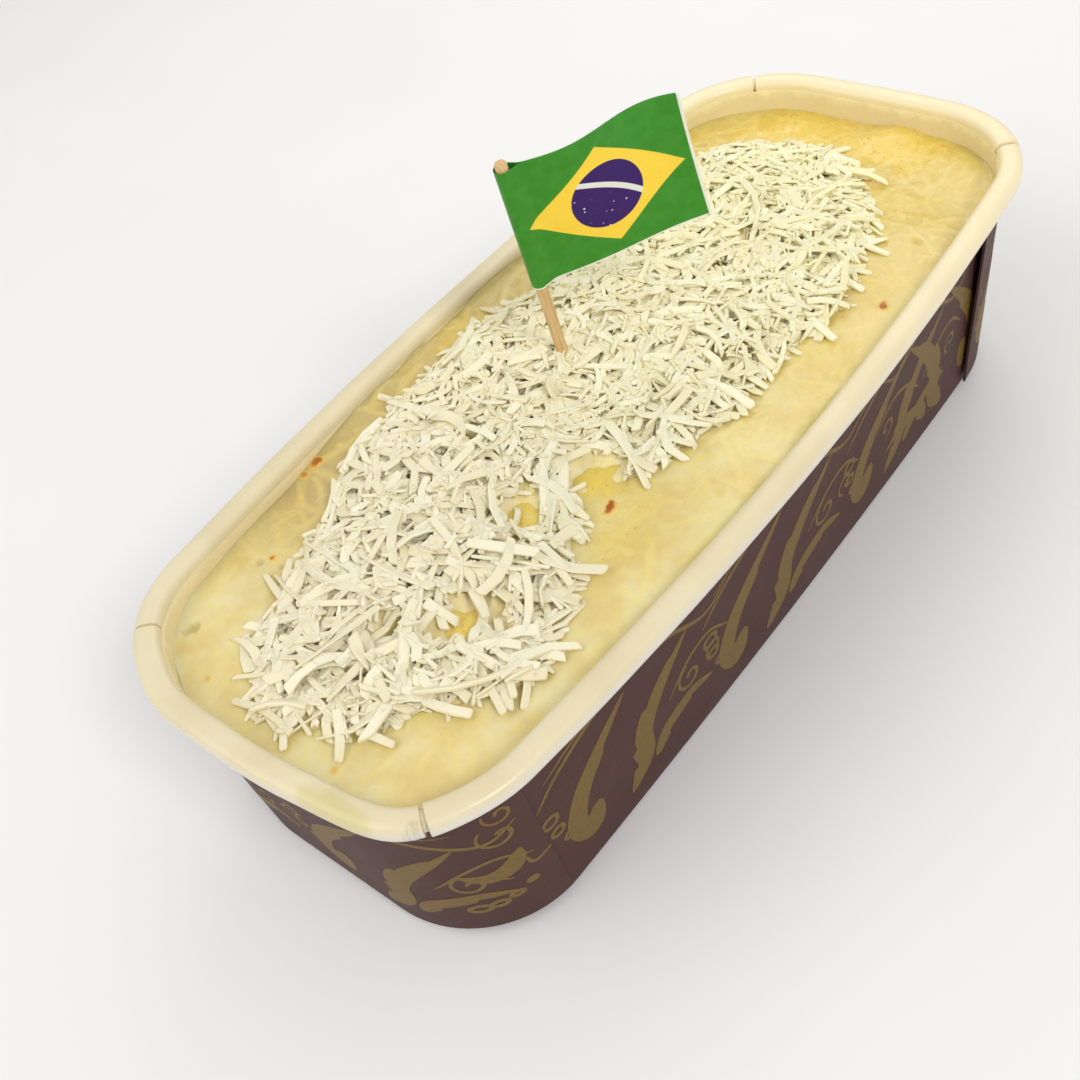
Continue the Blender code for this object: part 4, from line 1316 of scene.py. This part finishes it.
# %% Flag print
def printed_paper(name):
    paper = Finish(name, roughness=0.42, specular_ior_level=0.3)
    sheet = paper.add("ShaderNodeUVMap", {"uv_map": "sheet"}, {})
    along = paper.axis(sheet, "X")
    up = paper.axis(sheet, "Y")
    mottle = paper.noise(paper.place(), 0.5, 3)
    green = paper.blend(mottle.ramp(0.3, 0.7), (0.034, 0.255, 0.016), (0.048, 0.290, 0.024))
    right, above = along - 13.75, up - 11.9
    rhombus = (abs(right) / 12.75 + abs(above) / 9.3).ramp(1.008, 0.992)
    disc = ((right * right + above * above) ** 0.5).ramp(5.93, 5.80)
    bow_along, bow_up = along - 0.5, up + 7.25
    bow = (bow_along * bow_along + bow_up * bow_up) ** 0.5
    band = abs(bow - 25).ramp(0.50, 0.42)
    sockets = {"Vector": sheet, "Scale": 0.86, "Randomness": 1}
    dots = paper.add("ShaderNodeTexVoronoi", {"feature": "F1"}, sockets, "Distance")
    stars = dots.ramp(0.16, 0.11) * bow.ramp(23.9, 23.5)
    white_marks = ((stars, (0.86, 0.84, 0.92)), (band, (0.80, 0.84, 0.76)))
    blue = paper.layers((0.034, 0.004, 0.135), *white_marks)
    figure = paper.blend(disc, (1, 0.70, 0.062), blue)
    rim = (along.ramp(27.50, 27.62) + up.ramp(0.34, 0.24)).least(1)
    covers = ((rhombus, figure), (rim, (0.86, 0.86, 0.78)))
    paper.set("Base Color", paper.layers(green, *covers))
    paper.set("Roughness", 0.36 + mottle * 0.14)
    crinkle = paper.noise(paper.place(), 0.22, 3, 0.55)
    paper.set("Normal", paper.bump(crinkle, 0.0010, 0.35))
    return paper


FLAG_FINISH = printed_paper("printed_paper")
print("the flag's finish has", len(FLAG_FINISH.nodes), "nodes")

# %% Flag sheet
FLAG_HOIST, FLAG_FLY, FLAG_PAPER = 23.6 * MM, 28 * MM, 0.30 * MM
FLAG_BELOW_TOP = FLAG_START = 0.9 * MM
FLAG_WAVE, FLAG_FOOT_WAVE = -2 * MM, -0.5 * MM
FLAG_HEADING = Vector((0.80, -0.59, 0.09))
heading = (FLAG_HEADING - PICK_LEAN * FLAG_HEADING.dot(PICK_LEAN)).normalized()
FLAG_FACE = np.array(PICK_LEAN.cross(heading))
FLAG_ALONG = np.array(heading)
LEAN = np.array(PICK_LEAN)


def flag_place(along, up, off):
    """Points of the sheet from millimetres out from the stick and up from the flag's foot."""
    share, rise = np.clip(along / FLAG_FLY, 0, 1), up / FLAG_HOIST
    along = along + share * MM * (1.2 * np.clip(1 - rise, 0, 1) ** 1.5 - 0.5 * rise)
    depth = FLAG_FOOT_WAVE + (FLAG_WAVE - FLAG_FOOT_WAVE) * rise
    wave = depth * np.sin(1.9 * np.pi * share) * np.sqrt(share)
    height = PICK_ABOVE - FLAG_BELOW_TOP - FLAG_HOIST + up
    out = np.outer(along, FLAG_ALONG) + np.outer(off + wave, FLAG_FACE)
    return np.array(PICK_ENTRY) + np.outer(height, LEAN) + out


def make_flag():
    """Two sheets that meet at the fly and open into a sleeve round the stick."""
    sleeve = PICK_RADIUS + 0.32 * MM
    path = []
    for share in np.linspace(1, 0, 40):
        away = (FLAG_FLY - FLAG_START) * share
        opening = sleeve * math.exp(-(away / (1.1 * MM)) ** 2) * 0.62
        path.append((FLAG_START + away, 0.5 * FLAG_PAPER + opening, FLAG_START + away))
    for step in range(1, 16):
        turn = math.radians(48 + 264 * step / 16)
        path.append((sleeve * math.cos(turn), sleeve * math.sin(turn), 0.6 * MM))
    path += [(along, -off, along) for along, off, _ in path[39::-1]]
    heights = np.linspace(0, FLAG_HOIST, 28)
    columns = np.array(path)
    along, off = columns[:, 0], columns[:, 1]
    rings = [flag_place(along, np.full(len(columns), height), off) for height in heights]
    bm = loft(rings)[0]
    number = bm.verts.layers.int["number"]
    sheet = bm.loops.layers.uv.new("sheet")
    foot = np.array(PICK_ENTRY) + LEAN * (PICK_ABOVE - FLAG_BELOW_TOP - FLAG_HOIST)
    for face in bm.faces:
        for loop in face.loops:
            up = float(np.dot(np.array(loop.vert.co) - foot, LEAN))
            loop[sheet].uv = (columns[loop.vert[number], 2] / MM, up / MM)
    walls = list(bm.faces)
    bmesh.ops.recalc_face_normals(bm, faces=walls)
    bmesh.ops.solidify(bm, geom=walls, thickness=0.12 * MM)
    settle("paper_flag", bm, FLAG_FINISH, "flag")


make_flag()

# %% [markdown]
# The floor is a wide pale sheet and the light is soft. A key lamp high on the right draws the flag's
# shadow onto the cake behind the pick and the long highlight on the rim, as in the photograph. A
# small lamp warms the far end, and a wide weak one opens the shadows from the left.

# %% Floor and light
FLOOR_HALF = 1.5


def make_floor():
    bm = bmesh.new()
    bmesh.ops.create_grid(bm, x_segments=8, y_segments=8, size=FLOOR_HALF)
    mesh = to_mesh("floor", bm)
    pale = Finish("pale_floor", roughness=0.7)
    soft = pale.noise(pale.place(), 0.02, 2)
    pale.set("Base Color", pale.blend(soft, (0.86, 0.86, 0.86), (0.90, 0.90, 0.90)))
    mesh.materials.append(pale.material)
    show("floor", mesh)


def lamp(name, place, size, power, colour):
    light = bpy.data.lights.new(name, "AREA")
    light.shape = "SQUARE"
    light.size = size
    light.energy = power
    light.color = colour
    aim(show(name, light), place, -Vector(place))
    print(name, "lamp of", power, "W at", place)


make_floor()
lamp("key", (-0.22, -0.98, 1.00), 0.36, 6.6, (1, 0.985, 0.955))
lamp("far", (0.30, 0.14, 0.30), 0.26, 0.30, (1, 0.96, 0.88))
lamp("fill", (-0.55, 0.25, 0.60), 0.60, 1.8, (1, 0.98, 0.93))
world = bpy.data.worlds.new("studio")
world.use_nodes = True
sky = world.node_tree.nodes["Background"].inputs
sky["Color"].default_value = (1, 1, 1, 1)
sky["Strength"].default_value = 0.60
bpy.context.scene.world = world
bpy.context.scene.view_settings.view_transform = "Standard"
